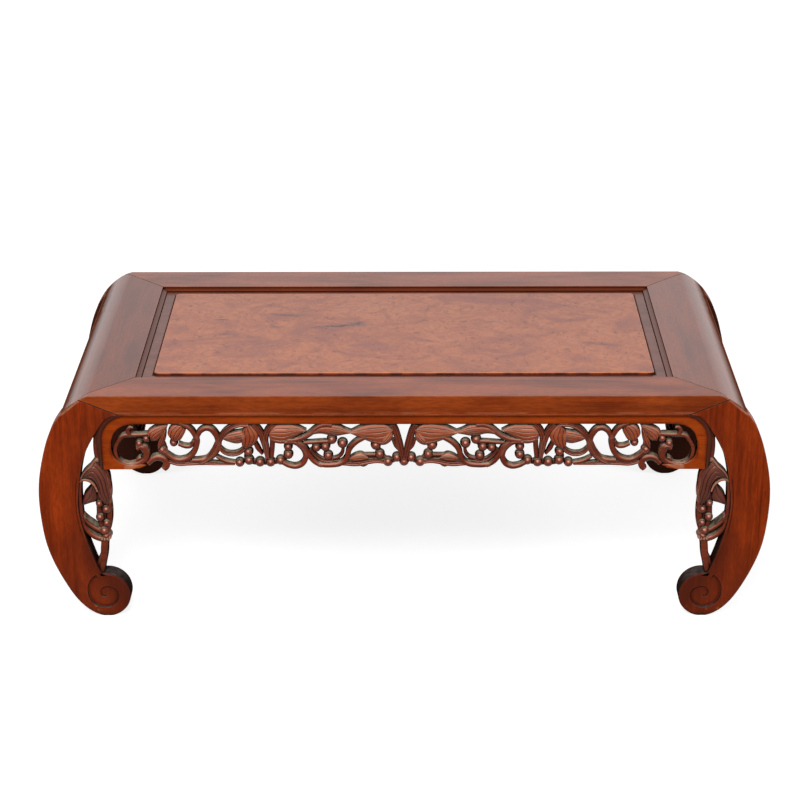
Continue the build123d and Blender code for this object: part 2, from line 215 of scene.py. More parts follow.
def white_floor():
    paper = bpy.data.materials.new("studio_paper")
    paper.use_nodes = True
    tree = paper.node_tree
    tree.nodes.clear()
    matt = add_node(tree, "BsdfDiffuse", Color=(paper_grey, paper_grey, paper_grey, 1))
    lift = add_node(tree, "Emission", Color=(1, 1, 1, 1))
    farther = remap(tree, length_of(tree, own_place(tree)), *lift_distances, *lift_strengths)
    tree.links.new(times(tree, seen_rays(tree), farther), lift.inputs["Strength"])
    both = add_node(tree, "AddShader")
    out = add_node(tree, "OutputMaterial")
    tree.links.new(matt.outputs[0], both.inputs[0])
    tree.links.new(lift.outputs[0], both.inputs[1])
    tree.links.new(both.outputs[0], out.inputs["Surface"])
    return paper


def sky():
    world = bpy.data.worlds.new("studio")
    world.use_nodes = True
    tree = world.node_tree
    background = tree.nodes["Background"]
    background.inputs["Color"].default_value = (1, 1, 1, 1)
    strength = remap(tree, seen_rays(tree), 0.0, 1.0, sky_strength, 1.0)
    tree.links.new(strength, background.inputs["Strength"])
    bpy.context.scene.world = world


def soft_lamp(name, place, target, width, height, watts):
    data = bpy.data.lights.new(name, "AREA")
    data.shape = "RECTANGLE"
    data.size = width
    data.size_y = height
    data.energy = watts
    lamp = bpy.data.objects.new(name, data)
    lamp.location = place
    lamp.rotation_euler = (Vector(target) - Vector(place)).to_track_quat("-Z", "Y").to_euler()
    bpy.context.scene.collection.objects.link(lamp)


bpy.ops.mesh.primitive_plane_add(size=floor_side)
floor = bpy.context.object
floor.name = "floor"
floor.data.materials.append(white_floor())
sky()
middle = (0, 0, 0.2)
soft_lamp("front_panel", (-0.4, -2.2, 2.3), middle, 1.4, 0.8, 60)
soft_lamp("front_spot", (-0.35, -2.9, 1.2), middle, 0.15, 0.15, 9)
soft_lamp("left_panel", (-2.2, -0.6, 1.5), middle, 1.0, 1.0, 13)
soft_lamp("right_panel", (2.2, -0.6, 1.5), middle, 1.0, 1.0, 17)
print("floor", floor_side, "m square, four lamps")

# %% [markdown]
# ## Bench tools
#
# Blender's operators work on what is selected, as a hand works on what is held, so each tool here first
# puts everything down and then picks up what it needs. Edges are found by how sharp they are and by where
# they lie, which is what a joiner does when running a plane along the visible arrises only.

# %% Pick up, join and copy
tools = bpy.context.tool_settings


def pick_up(*things):
    """Selects these objects alone. The first one is the active one."""
    for thing in bpy.context.selected_objects:
        thing.select_set(False)
    for thing in things:
        thing.select_set(True)
    bpy.context.view_layer.objects.active = things[0]


def new_object(name, data):
    piece = bpy.data.objects.new(name, data)
    bpy.context.scene.collection.objects.link(piece)
    return piece


def copy_of(piece, name):
    return new_object(name, piece.data.copy())


def joined(name, parts):
    pick_up(*parts)
    bpy.ops.object.join()
    piece = bpy.context.object
    piece.name = name
    return piece


def apply_modifier(piece, kind, **settings):
    modifier = piece.modifiers.new(kind.lower(), kind)
    for key, value in settings.items():
        setattr(modifier, key, value)
    pick_up(piece)
    bpy.ops.object.modifier_apply(modifier=modifier.name)


def edit(piece, *operators):
    """Runs mesh operators on the whole piece."""
    pick_up(piece)
    bpy.ops.object.mode_set(mode="EDIT")
    for operator in operators:
        bpy.ops.mesh.select_all(action="SELECT")
        operator()
    bpy.ops.object.mode_set(mode="OBJECT")


def face_outwards():
    bpy.ops.mesh.normals_make_consistent(inside=False)


def weld():
    bpy.ops.mesh.remove_doubles(threshold=0.002 * mm)


def merge_flats():
    bpy.ops.mesh.dissolve_limited(angle_limit=radians(0.3))


print("bench ready")

# %% [markdown]
# ## Softened arrises
#
# No edge of an old table is sharp. A bevel rounds the ones that a hand or a plane has reached, each with
# its own radius, and leaves the joints alone, so that they stay closed. Smooth shading then stops at the
# edges that are still sharp, and flat faces keep their normals.

# %% Soften, shade and finish


def soften_edges(piece, radius_at, sharpness=35, segments=2):
    """Rounds sharp edges. radius_at(x, y, z), from an edge's middle in mm, is its radius, or 0."""
    pick_up(piece)
    tools.mesh_select_mode = (False, True, False)
    bpy.ops.object.mode_set(mode="EDIT")
    bpy.ops.mesh.select_all(action="DESELECT")
    bpy.ops.mesh.edges_select_sharp(sharpness=radians(sharpness))
    bpy.ops.object.mode_set(mode="OBJECT")
    mesh = piece.data
    radii = []
    for edge in mesh.edges:
        start, end = (mesh.vertices[i].co for i in edge.vertices)
        radii.append(radius_at(*(start + end) / 2 / mm) if edge.select else 0)
    widest = max(radii)
    weights = mesh.attributes.new("bevel_weight_edge", "FLOAT", "EDGE")
    for weight, radius in zip(weights.data, radii):
        weight.value = radius / widest
    apply_modifier(
        piece, "BEVEL", limit_method="WEIGHT", width=widest * mm, segments=segments,
        use_clamp_overlap=False, miter_outer="MITER_ARC", loop_slide=False,
    )
    mesh.attributes.remove(mesh.attributes["bevel_weight_edge"])
    return sum(radius > 0 for radius in radii)


def shade(piece, angle=38):
    """Smooth shading that breaks at sharp edges, with the flat faces kept flat."""
    pick_up(piece)
    bpy.ops.object.shade_smooth_by_angle(angle=radians(angle))
    apply_modifier(piece, "WEIGHTED_NORMAL", keep_sharp=True)


def worked_copy(node, name):
    """A clean copy of a plain solid, welded, with its flat faces in one piece."""
    piece = new_object(name, nodes[node].data.copy())
    edit(piece, weld, merge_flats)
    return piece


def give_finish(piece, material):
    piece.data.materials.clear()
    piece.data.materials.append(material)


def finish_piece(piece, slot_name, *replaced):
    if replaced:
        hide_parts(*replaced)
    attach(piece, "root")
    print(piece.name, "faces:", len(piece.data.polygons))


print("finishing tools ready")

# %% [markdown]
# ## What old waxed wood looks like
#
# Three things give the wood its age and some painted light, and every finish below uses them, so each is a
# node group that is built once. `grain` gives streaks, pores, flecks and slow clouds of colour that run
# along one axis. The edge wear finds the arrises that hands have rubbed pale, by asking how close the other
# side of the wood is, and adds a painted highlight there. `hollows` finds the corners and the narrow cuts
# between two forms, where it paints shade, and what faces upwards, where dust settles, with a painted sheen
# for the bright room mirrored there, and wax builds up.

# %% Build the shared effects


def new_group(name, inputs, outputs):
    group = bpy.data.node_groups.new(name, "ShaderNodeTree")
    for socket, kind, value in inputs:
        made = group.interface.new_socket(socket, in_out="INPUT", socket_type="NodeSocket" + kind)
        if value is not None:
            made.default_value = value
    for socket, kind in outputs:
        group.interface.new_socket(socket, in_out="OUTPUT", socket_type="NodeSocket" + kind)
    return group, group.nodes.new("NodeGroupInput"), group.nodes.new("NodeGroupOutput")


def noise(tree, vector, stretch, detail=3.0, distortion=0.0):
    """Noise at so many features to the metre along each axis."""
    scale = add_node(tree, "Mapping", Scale=stretch)
    tree.links.new(vector, scale.inputs["Vector"])
    texture = add_node(tree, "TexNoise", Scale=1.0, Detail=detail, Distortion=distortion)
    tree.links.new(scale.outputs[0], texture.inputs["Vector"])
    return texture.outputs["Fac"]


def grain_group():
    outputs = [("Streaks", "Float"), ("Pores", "Float"), ("Flecks", "Float"), ("Clouds", "Float")]
    group, given, result = new_group("grain", [("Vector", "Vector", None)], outputs)
    vector = given.outputs["Vector"]
    streaks = noise(group, vector, (7, 210, 210), 4.0, 0.6)
    pores = noise(group, vector, (55, 1500, 1500), 2.0)
    flecks = noise(group, vector, (90, 420, 420), 2.0)
    clouds = noise(group, vector, (9, 34, 34), 3.0, 0.4)
    group.links.new(remap(group, streaks, 0.32, 0.68), result.inputs["Streaks"])
    group.links.new(remap(group, pores, 0.60, 0.72), result.inputs["Pores"])
    group.links.new(remap(group, flecks, 0.35, 0.65), result.inputs["Flecks"])
    group.links.new(remap(group, clouds, 0.35, 0.68), result.inputs["Clouds"])
    return group


def closeness(group, reach, **settings):
    """1 in the open, and less the nearer other wood is, up to this reach."""
    node = add_node(group, "AmbientOcclusion", {"samples": 6, **settings})
    group.links.new(reach, node.inputs["Distance"])
    return node.outputs["AO"]


def edge_wear_group():
    group, given, result = new_group("edge_wear", [("Reach", "Float", 0.003)], [("Edges", "Float")])
    inside = closeness(group, given.outputs["Reach"], inside=True, only_local=True)
    # Pale worn arrises: wear, and also a painted highlight that a rounded arris would catch.
    edges = remap(group, inside, 0.80, 0.45)
    rubbed = remap(group, noise(group, own_place(group), (90, 90, 90)), 0.30, 0.60, 0.35, 1.0)
    group.links.new(times(group, edges, rubbed), result.inputs["Edges"])
    return group


def hollows_group():
    outputs = [("Hollows", "Float"), ("Cuts", "Float"), ("Dust", "Float"), ("Upward", "Float")]
    group, given, result = new_group("hollows", [("Reach", "Float", 0.012)], outputs)
    reach = given.outputs["Reach"]
    outside = closeness(group, reach)
    close = closeness(group, times(group, reach, 0.2))
    upward = own_normal(group)["Z"]
    patchy = remap(group, noise(group, own_place(group), (160, 160, 160)), 0.35, 0.62, 0.3, 1.0)
    # Dust on what faces up, with a painted sheen where the bright room would be mirrored.
    dusty = times(group, remap(group, upward, 0.50, 0.92), patchy)
    # Painted shade: the hollows and the narrow cuts between forms, found by how close other wood is.
    group.links.new(remap(group, outside, 0.90, 0.40), result.inputs["Hollows"])
    group.links.new(remap(group, close, 0.95, 0.60), result.inputs["Cuts"])
    group.links.new(dusty, result.inputs["Dust"])
    group.links.new(remap(group, upward, 0.35, 0.80), result.inputs["Upward"])
    return group


effects = {"grain": grain_group(), "edge_wear": edge_wear_group(), "hollows": hollows_group()}
print("effects:", ", ".join(effects))

# %% [markdown]
# ## The hardwood recipe
#
# One stain and wax went over the whole table, yet no two parts look alike: the grain runs along each board,
# the legs are redder, and the carving keeps grey dust on top of every vine, painted paler still as a sheen
# where the bright room is mirrored. So one function mixes a hardwood from its tones and takes the direction
# of the grain. The gloss is old wax, a coat that lies on what faces upwards: a top seen from the front looks
# grey-pink where the room is mirrored in it. Under it the bare wood shines less, and `density` and `lacquer`
# are the index of refraction of the two.

# %% Write the recipe
grain_turns = {"X": (0, 0, 0), "Y": (0, 0, -pi / 2), "Z": (0, pi / 2, 0)}
coat_roughness = 0.25
dull_roughness = 0.4


def use_effect(tree, name, **inputs):
    node = tree.nodes.new("ShaderNodeGroup")
    node.node_tree = effects[name]
    for key, value in inputs.items():
        node.inputs[key].default_value = value
    return node.outputs


def tint(tree, factor, first, second, blend="MIX", strength=1.0):
    """Mixes two colours. Each is an output or a plain (r, g, b)."""
    node = add_node(tree, "Mix", {"data_type": "RGBA", "blend_type": blend})
    for socket, colour in ((node.inputs[6], first), (node.inputs[7], second)):
        if isinstance(colour, tuple):
            socket.default_value = (*colour, 1)
        else:
            tree.links.new(colour, socket)
    if strength != 1.0:
        factor = times(tree, factor, strength)
    tree.links.new(factor, node.inputs[0])
    return node.outputs[2]


def new_material(name):
    material = bpy.data.materials.new(name)
    material.use_nodes = True
    return material, material.node_tree, material.node_tree.nodes["Principled BSDF"]


def bump(tree, shader, height, strength, depth):
    node = add_node(tree, "Bump", Strength=strength, Distance=depth * mm)
    tree.links.new(height, node.inputs["Height"])
    tree.links.new(node.outputs[0], shader.inputs["Normal"])


def hardwood(name, grain_axis, tones, edge_reach=2.5, hollow_reach=12.0, dust=0.0, wear=0.6, film=1.0,
             cuts=0.0, marks=None, density=1.08, wax=(0.28, 0.44), spark=(1, 1, 1), lacquer=1.38):
    """tones: dark, base and light wood, worn arris with a painted highlight, the tone of the pores and of
    the painted shade in the hollows, and dust with a painted sheen.

    film is how much wax has built up on what faces upwards, cuts how dark the painted shade in the knife
    cuts is, wax how rough the surface is where it is most and least waxed, spark the colour of a highlight,
    and marks a function that stains certain places, paints shade and highlights on some, and says where
    they are dull."""
    material, tree, shader = new_material(name)
    place = own_place(tree)
    turn = add_node(tree, "Mapping", Rotation=grain_turns[grain_axis])
    tree.links.new(place, turn.inputs["Vector"])
    grain = use_effect(tree, "grain")
    tree.links.new(turn.outputs[0], grain["Streaks"].node.inputs["Vector"])
    edges = use_effect(tree, "edge_wear", Reach=edge_reach * mm)["Edges"]
    hollows = use_effect(tree, "hollows", Reach=hollow_reach * mm)
    colour = tint(tree, grain["Streaks"], tones["dark"], tones["base"])
    # Grain colours the wood; the worn tone on the arrises is wear and also a painted highlight.
    for mask, tone, strength in (
        (grain["Clouds"], "light", 0.75), (grain["Flecks"], "dark", 0.35), (grain["Pores"], "hollow", 0.45),
        (edges, "worn", wear),
    ):
        colour = tint(tree, mask, colour, tones[tone], strength=strength)
    shine = minus(tree, 1.0, hollows["Hollows"])
    wax_low, wax_high = wax
    roughness = remap(tree, grain["Clouds"], 0.0, 1.0, wax_high, wax_low)
    if marks:
        colour, dull = marks(tree, place, colour)
        shine = minus(tree, shine, dull)
        roughness = plus(tree, roughness, times(tree, dull, dull_roughness))
    # Painted shade in the hollows and the knife cuts, and dust with a painted sheen on what faces up.
    for mask, tone, strength in (
        ("Hollows", "hollow", 0.85), ("Cuts", "hollow", cuts), ("Dust", "dust", dust),
    ):
        if strength:
            colour = tint(tree, hollows[mask], colour, tones[tone], strength=strength)
    coat = times(tree, hollows["Upward"], larger(tree, times(tree, shine, film), 0.0))
    tree.links.new(colour, shader.inputs["Base Color"])
    tree.links.new(roughness, shader.inputs["Roughness"])
    tree.links.new(coat, shader.inputs["Coat Weight"])
    shader.inputs["Coat Roughness"].default_value = coat_roughness
    shader.inputs["Coat IOR"].default_value = lacquer
    shader.inputs["IOR"].default_value = density
    shader.inputs["Specular Tint"].default_value = (*spark, 1)
    bump(tree, shader, grain["Pores"], 0.25, -0.15)
    return material


print("grain runs along", ", ".join(grain_turns))

# %% [markdown]
# ## The tones of the wood
#
# A tone is an (r, g, b) of light, not of paint, so dark wood has small numbers: red is left, green and blue
# are nearly gone. Each part starts from the tones of the frame and changes its dark, base and light wood.
# The legs are redder, the end rails browner, and the carving keeps more dust, with a painted sheen. Some
# tones are painted light: the right end rail lighter, and the bracket's leaves, the sawn sides and the
# openwork's walls darker as shade, the last two nearly black.

# %% Choose the tones


def like(others, dark, base, light, **rest):
    """Tones with their own dark, base and light wood, and otherwise like others."""
    return dict(others, dark=dark, base=base, light=light, **rest)


frame_tones = {
    "dark": (0.095, 0.014, 0.004), "base": (0.230, 0.036, 0.006), "light": (0.360, 0.066, 0.011),
    "worn": (0.48, 0.22, 0.13), "hollow": (0.022, 0.005, 0.003), "dust": (0.25, 0.20, 0.14),
}
end_tones = like(frame_tones, (0.085, 0.015, 0.006), (0.160, 0.030, 0.010), (0.210, 0.040, 0.013))
# The right end rail is painted lighter than the left, as painted light from that side.
right_tones = like(frame_tones, (0.105, 0.020, 0.009), (0.190, 0.038, 0.014), (0.250, 0.050, 0.018))
leg_tones = like(frame_tones, (0.090, 0.011, 0.003), (0.255, 0.030, 0.004), (0.350, 0.044, 0.006))
# Nearly black: painted shade on the insides of the legs.
sawn_tones = like(
    frame_tones, (0.012, 0.007, 0.005), (0.030, 0.017, 0.013), (0.050, 0.028, 0.022),
    dust=(0.150, 0.120, 0.118),
)
border_tones = like(frame_tones, (0.19, 0.024, 0.003), (0.31, 0.042, 0.004), (0.40, 0.065, 0.007))
board_tones = like(frame_tones, (0.09, 0.020, 0.010), (0.14, 0.030, 0.015), (0.19, 0.042, 0.022))
under_tones = like(frame_tones, (0.10, 0.040, 0.020), (0.16, 0.070, 0.036), (0.21, 0.095, 0.050))
carved_tones = like(
    frame_tones, (0.065, 0.010, 0.004), (0.140, 0.020, 0.007), (0.210, 0.036, 0.012),
    worn=(0.60, 0.27, 0.18), hollow=(0.008, 0.003, 0.002), dust=(0.36, 0.30, 0.21),
)
leaf_tones = like(carved_tones, (0.14, 0.024, 0.009), (0.270, 0.050, 0.016), (0.37, 0.080, 0.025))
# A darker copy of the leaf tones for the bracket's leaves: painted shade.
fold_tones = like(carved_tones, (0.045, 0.011, 0.007), (0.085, 0.020, 0.012), (0.14, 0.032, 0.018))
grape_tones = like(carved_tones, (0.090, 0.012, 0.005), (0.150, 0.021, 0.008), (0.21, 0.032, 0.012))
# Pale: rubbed wood, and a painted highlight on the small lips and beads of the bracket.
rubbed_tones = like(carved_tones, (0.16, 0.050, 0.028), (0.300, 0.120, 0.070), (0.45, 0.210, 0.140))
# Nearly black: painted shade on the walls of the openwork and the back.
wall_tones = like(carved_tones, (0.012, 0.006, 0.004), (0.025, 0.010, 0.006), (0.045, 0.015, 0.008))
print("base of the frame:", frame_tones["base"], "and of the legs:", leg_tones["base"])

# %% [markdown]
# ## Marks on the frame, the legs and the board
#
# Dirt gathers in joints, and hands and feet rub the edges that stand out. The moulding round the recess is
# darker, and shade is painted on its upright walls, where an end rail's shoulder turns down, on the sides
# and backs of the legs and beside the bracket's strip, and in a dark line at the foot of the slab that is
# partly dirt. Each mark has its place on the table, so a finish finds it from where a point lies and which
# way it faces. All places are taken from the middle of the table, so that the four corners share one set.
# Each function below stains the colour that it is given or paints shade on it, and says where the wood has
# lost its shine.

# %% Mark the frame, the legs and the board
# Stains and wear, and the tones of painted shade and of the painted highlight on the carving.
stains = {
    "joint": (0.018, 0.005, 0.003), "old_wax": (0.09, 0.017, 0.006), "deep_wax": (0.015, 0.004, 0.002),
    "rubbed_edge": (0.48, 0.20, 0.11), "shoulder": (0.070, 0.025, 0.012), "inner_leg": (0.045, 0.009, 0.005),
    "low_leg": (0.085, 0.016, 0.008), "leg_strip": (0.020, 0.005, 0.003), "leg_side": (0.050, 0.012, 0.006),
    "chip": (0.50, 0.22, 0.11), "leg_back": (0.030, 0.011, 0.007), "slab_foot": (0.020, 0.008, 0.006),
    "carved_side": (0.022, 0.006, 0.004), "handled": (0.68, 0.31, 0.22), "deep": (0.012, 0.004, 0.003),
    "border_edge": (0.060, 0.012, 0.004), "bent_bead": (0.045, 0.015, 0.011),
}
# The mitre across the top runs where a place is this much further along the table than it is deep.
top_mitre = 0.1718
# The mitre on the face starts at this place along and up, and climbs outwards at this angle.
face_mitre_low = (0.3620, 0.2860)
face_mitre_tilt = radians(22.57)
# The recess ends here along and across the table, a leg is bent round here, and a strip follows its inside.
recess_half = (0.3466, 0.1748)
ring_middle = (0.2328, 0.1630)
strip_radius = 0.1900


def distances(tree, place):
    """How far a place lies from the middle of the table along its length and its depth, and its height."""
    parts = parts_of(tree, place)
    return unsigned(tree, parts["X"]), unsigned(tree, parts["Y"]), parts["Z"]


def facing(tree, axis):
    """How much the surface faces along an axis, whichever way."""
    return unsigned(tree, own_normal(tree)[axis])


def within(tree, value, edge, blur=0.0004):
    """1 where a value is under an edge, and 0 where it is over it."""
    return remap(tree, value, edge + blur, edge - blur)


def thin_line(tree, distance, width):
    """1 on a line of this width, from the distance to its middle."""
    return remap(tree, unsigned(tree, distance), width * 0.75, width * 0.25)


def joint_lines(tree, x, y, z, colour):
    """The dirt in the mitres: across the top, and on the face between a rail and its leg."""
    off_top = minus(tree, minus(tree, x, y), top_mitre)
    top_line = times(tree, thin_line(tree, off_top, 0.0017), remap(tree, facing(tree, "Z"), 0.4, 0.7))
    along = times(tree, minus(tree, x, face_mitre_low[0]), sin(face_mitre_tilt))
    up = times(tree, minus(tree, z, face_mitre_low[1]), cos(face_mitre_tilt))
    off_face = minus(tree, up, along)
    face_line = times(tree, thin_line(tree, off_face, 0.0014), remap(tree, facing(tree, "Y"), 0.4, 0.7))
    return tint(tree, larger(tree, top_line, face_line), colour, stains["joint"], strength=0.8)


def moulding_marks(tree, in_recess, z, place, colour, dull):
    """Darker in the moulding round the recess, with painted shade on its upright walls, and a rubbed line
    along a rail's lower edge.
    """
    upright = times(tree, in_recess, remap(tree, facing(tree, "Z"), 0.6, 0.3))
    colour = tint(tree, in_recess, colour, stains["old_wax"], strength=0.7)
    # Painted shade on the upright walls of the step.
    colour = tint(tree, upright, colour, stains["deep_wax"], strength=0.9)
    patchy = remap(tree, noise(tree, place, (28, 90, 90)), 0.42, 0.62)
    low_edge = times(tree, remap(tree, z, 0.2905, 0.2870), patchy)
    rubbed = times(tree, low_edge, remap(tree, facing(tree, "Z"), 0.95, 0.75))
    colour = tint(tree, rubbed, colour, stains["rubbed_edge"], strength=0.5)
    return colour, times(tree, in_recess, dull)


def long_rail_marks(tree, place, colour):
    x, y, z = distances(tree, place)
    colour = joint_lines(tree, x, y, z, colour)
    return moulding_marks(tree, within(tree, y, recess_half[1]), z, place, colour, dull=0.8)


def end_rail_marks(tree, place, colour):
    """An end rail's shoulder holds less wax, the more it turns down, and is painted darker there as shade.
    """
    x, y, z = distances(tree, place)
    colour = joint_lines(tree, x, y, z, colour)
    colour, dull = moulding_marks(tree, within(tree, x, recess_half[0]), z, place, colour, dull=0.3)
    turned_down = remap(tree, facing(tree, "Z"), 0.81, 0.69)
    shoulder = times(tree, turned_down, remap(tree, x, 0.40, 0.41))
    return tint(tree, shoulder, colour, stains["shoulder"], strength=0.5), larger(tree, dull, shoulder)


def leg_marks(tree, place, colour):
    """A leg is bent like a ring. It is darker towards its inner edge and its foot, and shade is painted on
    its sides, on its back, and in a line where the bracket's strip lies against it.
    """
    x, y, z = distances(tree, place)
    spot = add_node(tree, "CombineXYZ")
    tree.links.new(minus(tree, x, ring_middle[0]), spot.inputs["X"])
    tree.links.new(minus(tree, z, ring_middle[1]), spot.inputs["Z"])
    reach = length_of(tree, spot.outputs[0])
    inner = times(tree, remap(tree, reach, 0.216, 0.190), remap(tree, z, 0.165, 0.095, 0.40, 1.0))
    colour = tint(tree, inner, colour, stains["inner_leg"], strength=0.7)
    colour = tint(tree, remap(tree, z, 0.13, 0.04), colour, stains["low_leg"], strength=0.5)
    # A painted shade line along the leg's inner edge, where the bracket's strip lies against it.
    strip = thin_line(tree, minus(tree, reach, strip_radius), 0.0014)
    strip = times(tree, strip, remap(tree, z, 0.116, 0.124))
    strip = times(tree, strip, remap(tree, z, 0.202, 0.194))
    colour = tint(tree, strip, colour, stains["leg_strip"], strength=0.7)
    colour = joint_lines(tree, x, y, z, colour)
    # Painted shade on the faces across the leg's thickness: its sides and the top of its scroll.
    side = times(tree, remap(tree, facing(tree, "Y"), 0.8, 0.4), remap(tree, z, 0.275, 0.250))
    colour = tint(tree, side, colour, stains["leg_side"], strength=0.6)
    patchy = remap(tree, noise(tree, place, (150, 150, 150)), 0.60, 0.70)
    chipped = times(tree, remap(tree, z, 0.020, 0.008), patchy)
    colour = tint(tree, chipped, colour, stains["chip"], strength=0.5)
    # Painted shade on the face of the leg that looks into the table.
    back = remap(tree, y, 0.217, 0.215)
    return tint(tree, back, colour, stains["leg_back"], strength=0.88), larger(tree, back, side)


def board_marks(tree, place, colour):
    """A dark line along the foot of the slab: partly dirt, partly painted shadow."""
    x, y, z = distances(tree, place)
    off_slab = larger(tree, minus(tree, x, burl_high.x), minus(tree, y, burl_high.y))
    line = remap(tree, off_slab, 0.0030, 0.0014)
    return tint(tree, line, colour, stains["slab_foot"], strength=0.9), line


print("stains:", len(stains))

# %% [markdown]
# ## Marks on the carving
#
# A highlight is painted on the carving where the lamp above the front would shine: on the crowns of vines,
# leaves and grapes that face out and up. Shade is painted on their sides and undersides and in the deep
# places between. How much a point faces out of its board can't be told from the way it faces on the table,
# because the boards stand on four sides, so the carving notes it as `faces_out` when it is made. The border
# is flat, and shade is painted where it turns in to the openwork: its inner corner is a quarter of an oval,
# drawn from the same sizes as the border's outline.

# %% Mark the carving
apron_inset = 5.0
apron_face = front_face - apron_inset
end_apron_face = 430.0
pattern_half = 387.4
end_apron_half = 214.3
carving_drop = 3.0
band_edge = 274.2
band_inset = 42.0
post_inset = 13.4
oval_foot = 238.0


def carved_marks(rubbing, narrow=0.84):
    """The first argument is how strong the painted highlight on the crowns is, and narrow how squarely a
    place must face the highlight's direction, up to 1.
    """
    def stain(tree, place, colour):
        x, y, z = distances(tree, place)
        out = add_node(tree, "Attribute", {"attribute_name": "faces_out"}).outputs["Fac"]
        up = own_normal(tree)["Z"]
        # Painted shade on the sides and undersides of the carving.
        hidden = larger(tree, remap(tree, out, 0.75, 0.30), remap(tree, up, 0.0, -0.5))
        colour = tint(tree, hidden, colour, stains["carved_side"], strength=0.65)
        # A painted highlight on the crowns, where the lamp above the front would shine: out of the board and
        # up.
        towards_hand = plus(tree, times(tree, out, 0.85), times(tree, up, 0.52))
        crown = remap(tree, towards_hand, narrow, 1.0)
        colour = tint(tree, crown, colour, stains["handled"], strength=rubbing)
        # Painted shade that grows the further the carving lies behind the apron's face.
        beyond_side = minus(tree, y, apron_face * mm)
        beyond_end = minus(tree, x, end_apron_face * mm)
        deep = remap(tree, larger(tree, beyond_side, beyond_end), -0.0025, -0.0075)
        return tint(tree, deep, colour, stains["deep"], strength=0.75), deep

    return stain


def border_marks(axis, half):
    """Painted shade on the inner edge of a border so long each way, along this axis of the table."""
    def stain(tree, place, colour):
        spot = distances(tree, place)
        beyond_turn = larger(tree, minus(tree, spot[axis], (half - band_inset) * mm), 0.0)
        above_foot = larger(tree, minus(tree, spot[2], oval_foot * mm), 0.0)
        across = calculate(tree, "DIVIDE", beyond_turn, (band_inset - post_inset) * mm)
        upwards = calculate(tree, "DIVIDE", above_foot, (band_edge - carving_drop - oval_foot) * mm)
        oval = plus(tree, calculate(tree, "POWER", across, 2.0), calculate(tree, "POWER", upwards, 2.0))
        inner = times(tree, remap(tree, oval, 1.24, 1.0), remap(tree, spot[2], 0.2220, 0.2300))
        return tint(tree, inner, colour, stains["border_edge"], strength=0.8), inner

    return stain


def bead_marks(tree, place, colour):
    """Painted shade on the bead where it bends down beside a leg."""
    x, y, z = distances(tree, place)
    bent = remap(tree, x, 0.352, 0.366)
    return tint(tree, bent, colour, stains["bent_bead"], strength=0.85), bent


print("border turns in", round(band_inset - post_inset, 1), "mm")

# %% [markdown]
# ## The hardwoods mixed
#
# Now the recipe, the tones and the marks come together, one finish for each kind of surface. Rails, legs and
# bead are waxed. Vines, leaves and grapes shine as bare rubbed wood does, with a warm spark instead of a
# coat. What was only sawn, the walls of the openwork and the insides of the legs, has no gloss at all, and
# is painted nearly black as shade.

# %% Mix the hardwoods
rail_use = {"hollow_reach": 6.0, "cuts": 0.7}
end_rail_use = {**rail_use, "marks": end_rail_marks, "density": 1.0}
rail_wood = hardwood("stained_rail", "X", frame_tones, marks=long_rail_marks, **rail_use)
left_rail_wood = hardwood("stained_left_rail", "Y", end_tones, lacquer=1.50, **end_rail_use)
right_rail_wood = hardwood("stained_right_rail", "Y", right_tones, lacquer=1.62, **end_rail_use)
bead_wood = hardwood("worn_bead", "X", frame_tones, 3.0, 4.0, wear=0.35, marks=bead_marks)
leg_wood = hardwood("stained_leg", "Z", leg_tones, film=0.15, marks=leg_marks, cuts=0.7)
sawn_wood = hardwood("sawn_edge", "Z", sawn_tones, dust=0.4, film=0.0, density=1.0)
warm_spark = (1.0, 0.42, 0.33)
vine_wood = hardwood(
    "carved_vine", "X", carved_tones, 1.3, 9.0, dust=0.8, wear=0.15, film=0.3, cuts=0.8,
    marks=carved_marks(0.5, 0.90), density=1.32, wax=(0.26, 0.36), spark=warm_spark,
)
leaf_wood = hardwood(
    "carved_leaf", "X", leaf_tones, 1.0, 7.0, dust=0.6, wear=0.35, film=0.3, cuts=0.3,
    marks=carved_marks(0.50, 0.86), density=1.34, wax=(0.28, 0.38), spark=warm_spark,
)
fold_wood = hardwood(
    "folded_leaf", "Z", fold_tones, 1.0, 7.0, dust=0.7, wear=0.1, film=0.3, cuts=0.6,
    marks=carved_marks(0.12), density=1.40, wax=(0.28, 0.38), spark=warm_spark,
)
grape_wood = hardwood(
    "carved_grape", "X", grape_tones, 0.8, 6.0, dust=0.3, wear=0.2, film=0.2, cuts=0.6,
    marks=carved_marks(0.70, 0.91), density=1.46, wax=(0.24, 0.30), spark=(1.0, 0.50, 0.42),
)
rubbed_wood = hardwood(
    "rubbed_carving", "X", rubbed_tones, 0.8, 5.0, dust=0.5, wear=0.4, cuts=0.5, density=1.42,
    wax=(0.26, 0.36), spark=warm_spark,
)
wall_wood = hardwood("sawn_openwork", "X", wall_tones, dust=0.85, film=0.0, density=1.0)
long_border_marks = border_marks(0, pattern_half)
end_border_marks = border_marks(1, end_apron_half)
border_wood = hardwood("apron_border", "X", border_tones, 1.5, 5.0, marks=long_border_marks)
end_border_wood = hardwood("end_apron_border", "Y", border_tones, 1.5, 5.0, marks=end_border_marks)
board_wood = hardwood("floating_board", "X", board_tones, hollow_reach=2.5, film=0.9, marks=board_marks)
batten_wood = hardwood("batten", "Y", under_tones)
peg_wood = hardwood("turned_peg", "Z", under_tones)
print("hardwoods mixed:", len(bpy.data.materials) - 1)

# %% [markdown]
# ## The burl
#
# A burl is wood that grew round hundreds of buds, so it has no direction: warm clouds, fine curls, dark
# pin knots, and a few healed cracks. Each crack is a long thin spot, bent by noise so that it wanders. The
# rim of the slab is dark, with dirt and painted shade, and worn in turns, with a bright lip where it rounds
# over, which is wear and a painted highlight.

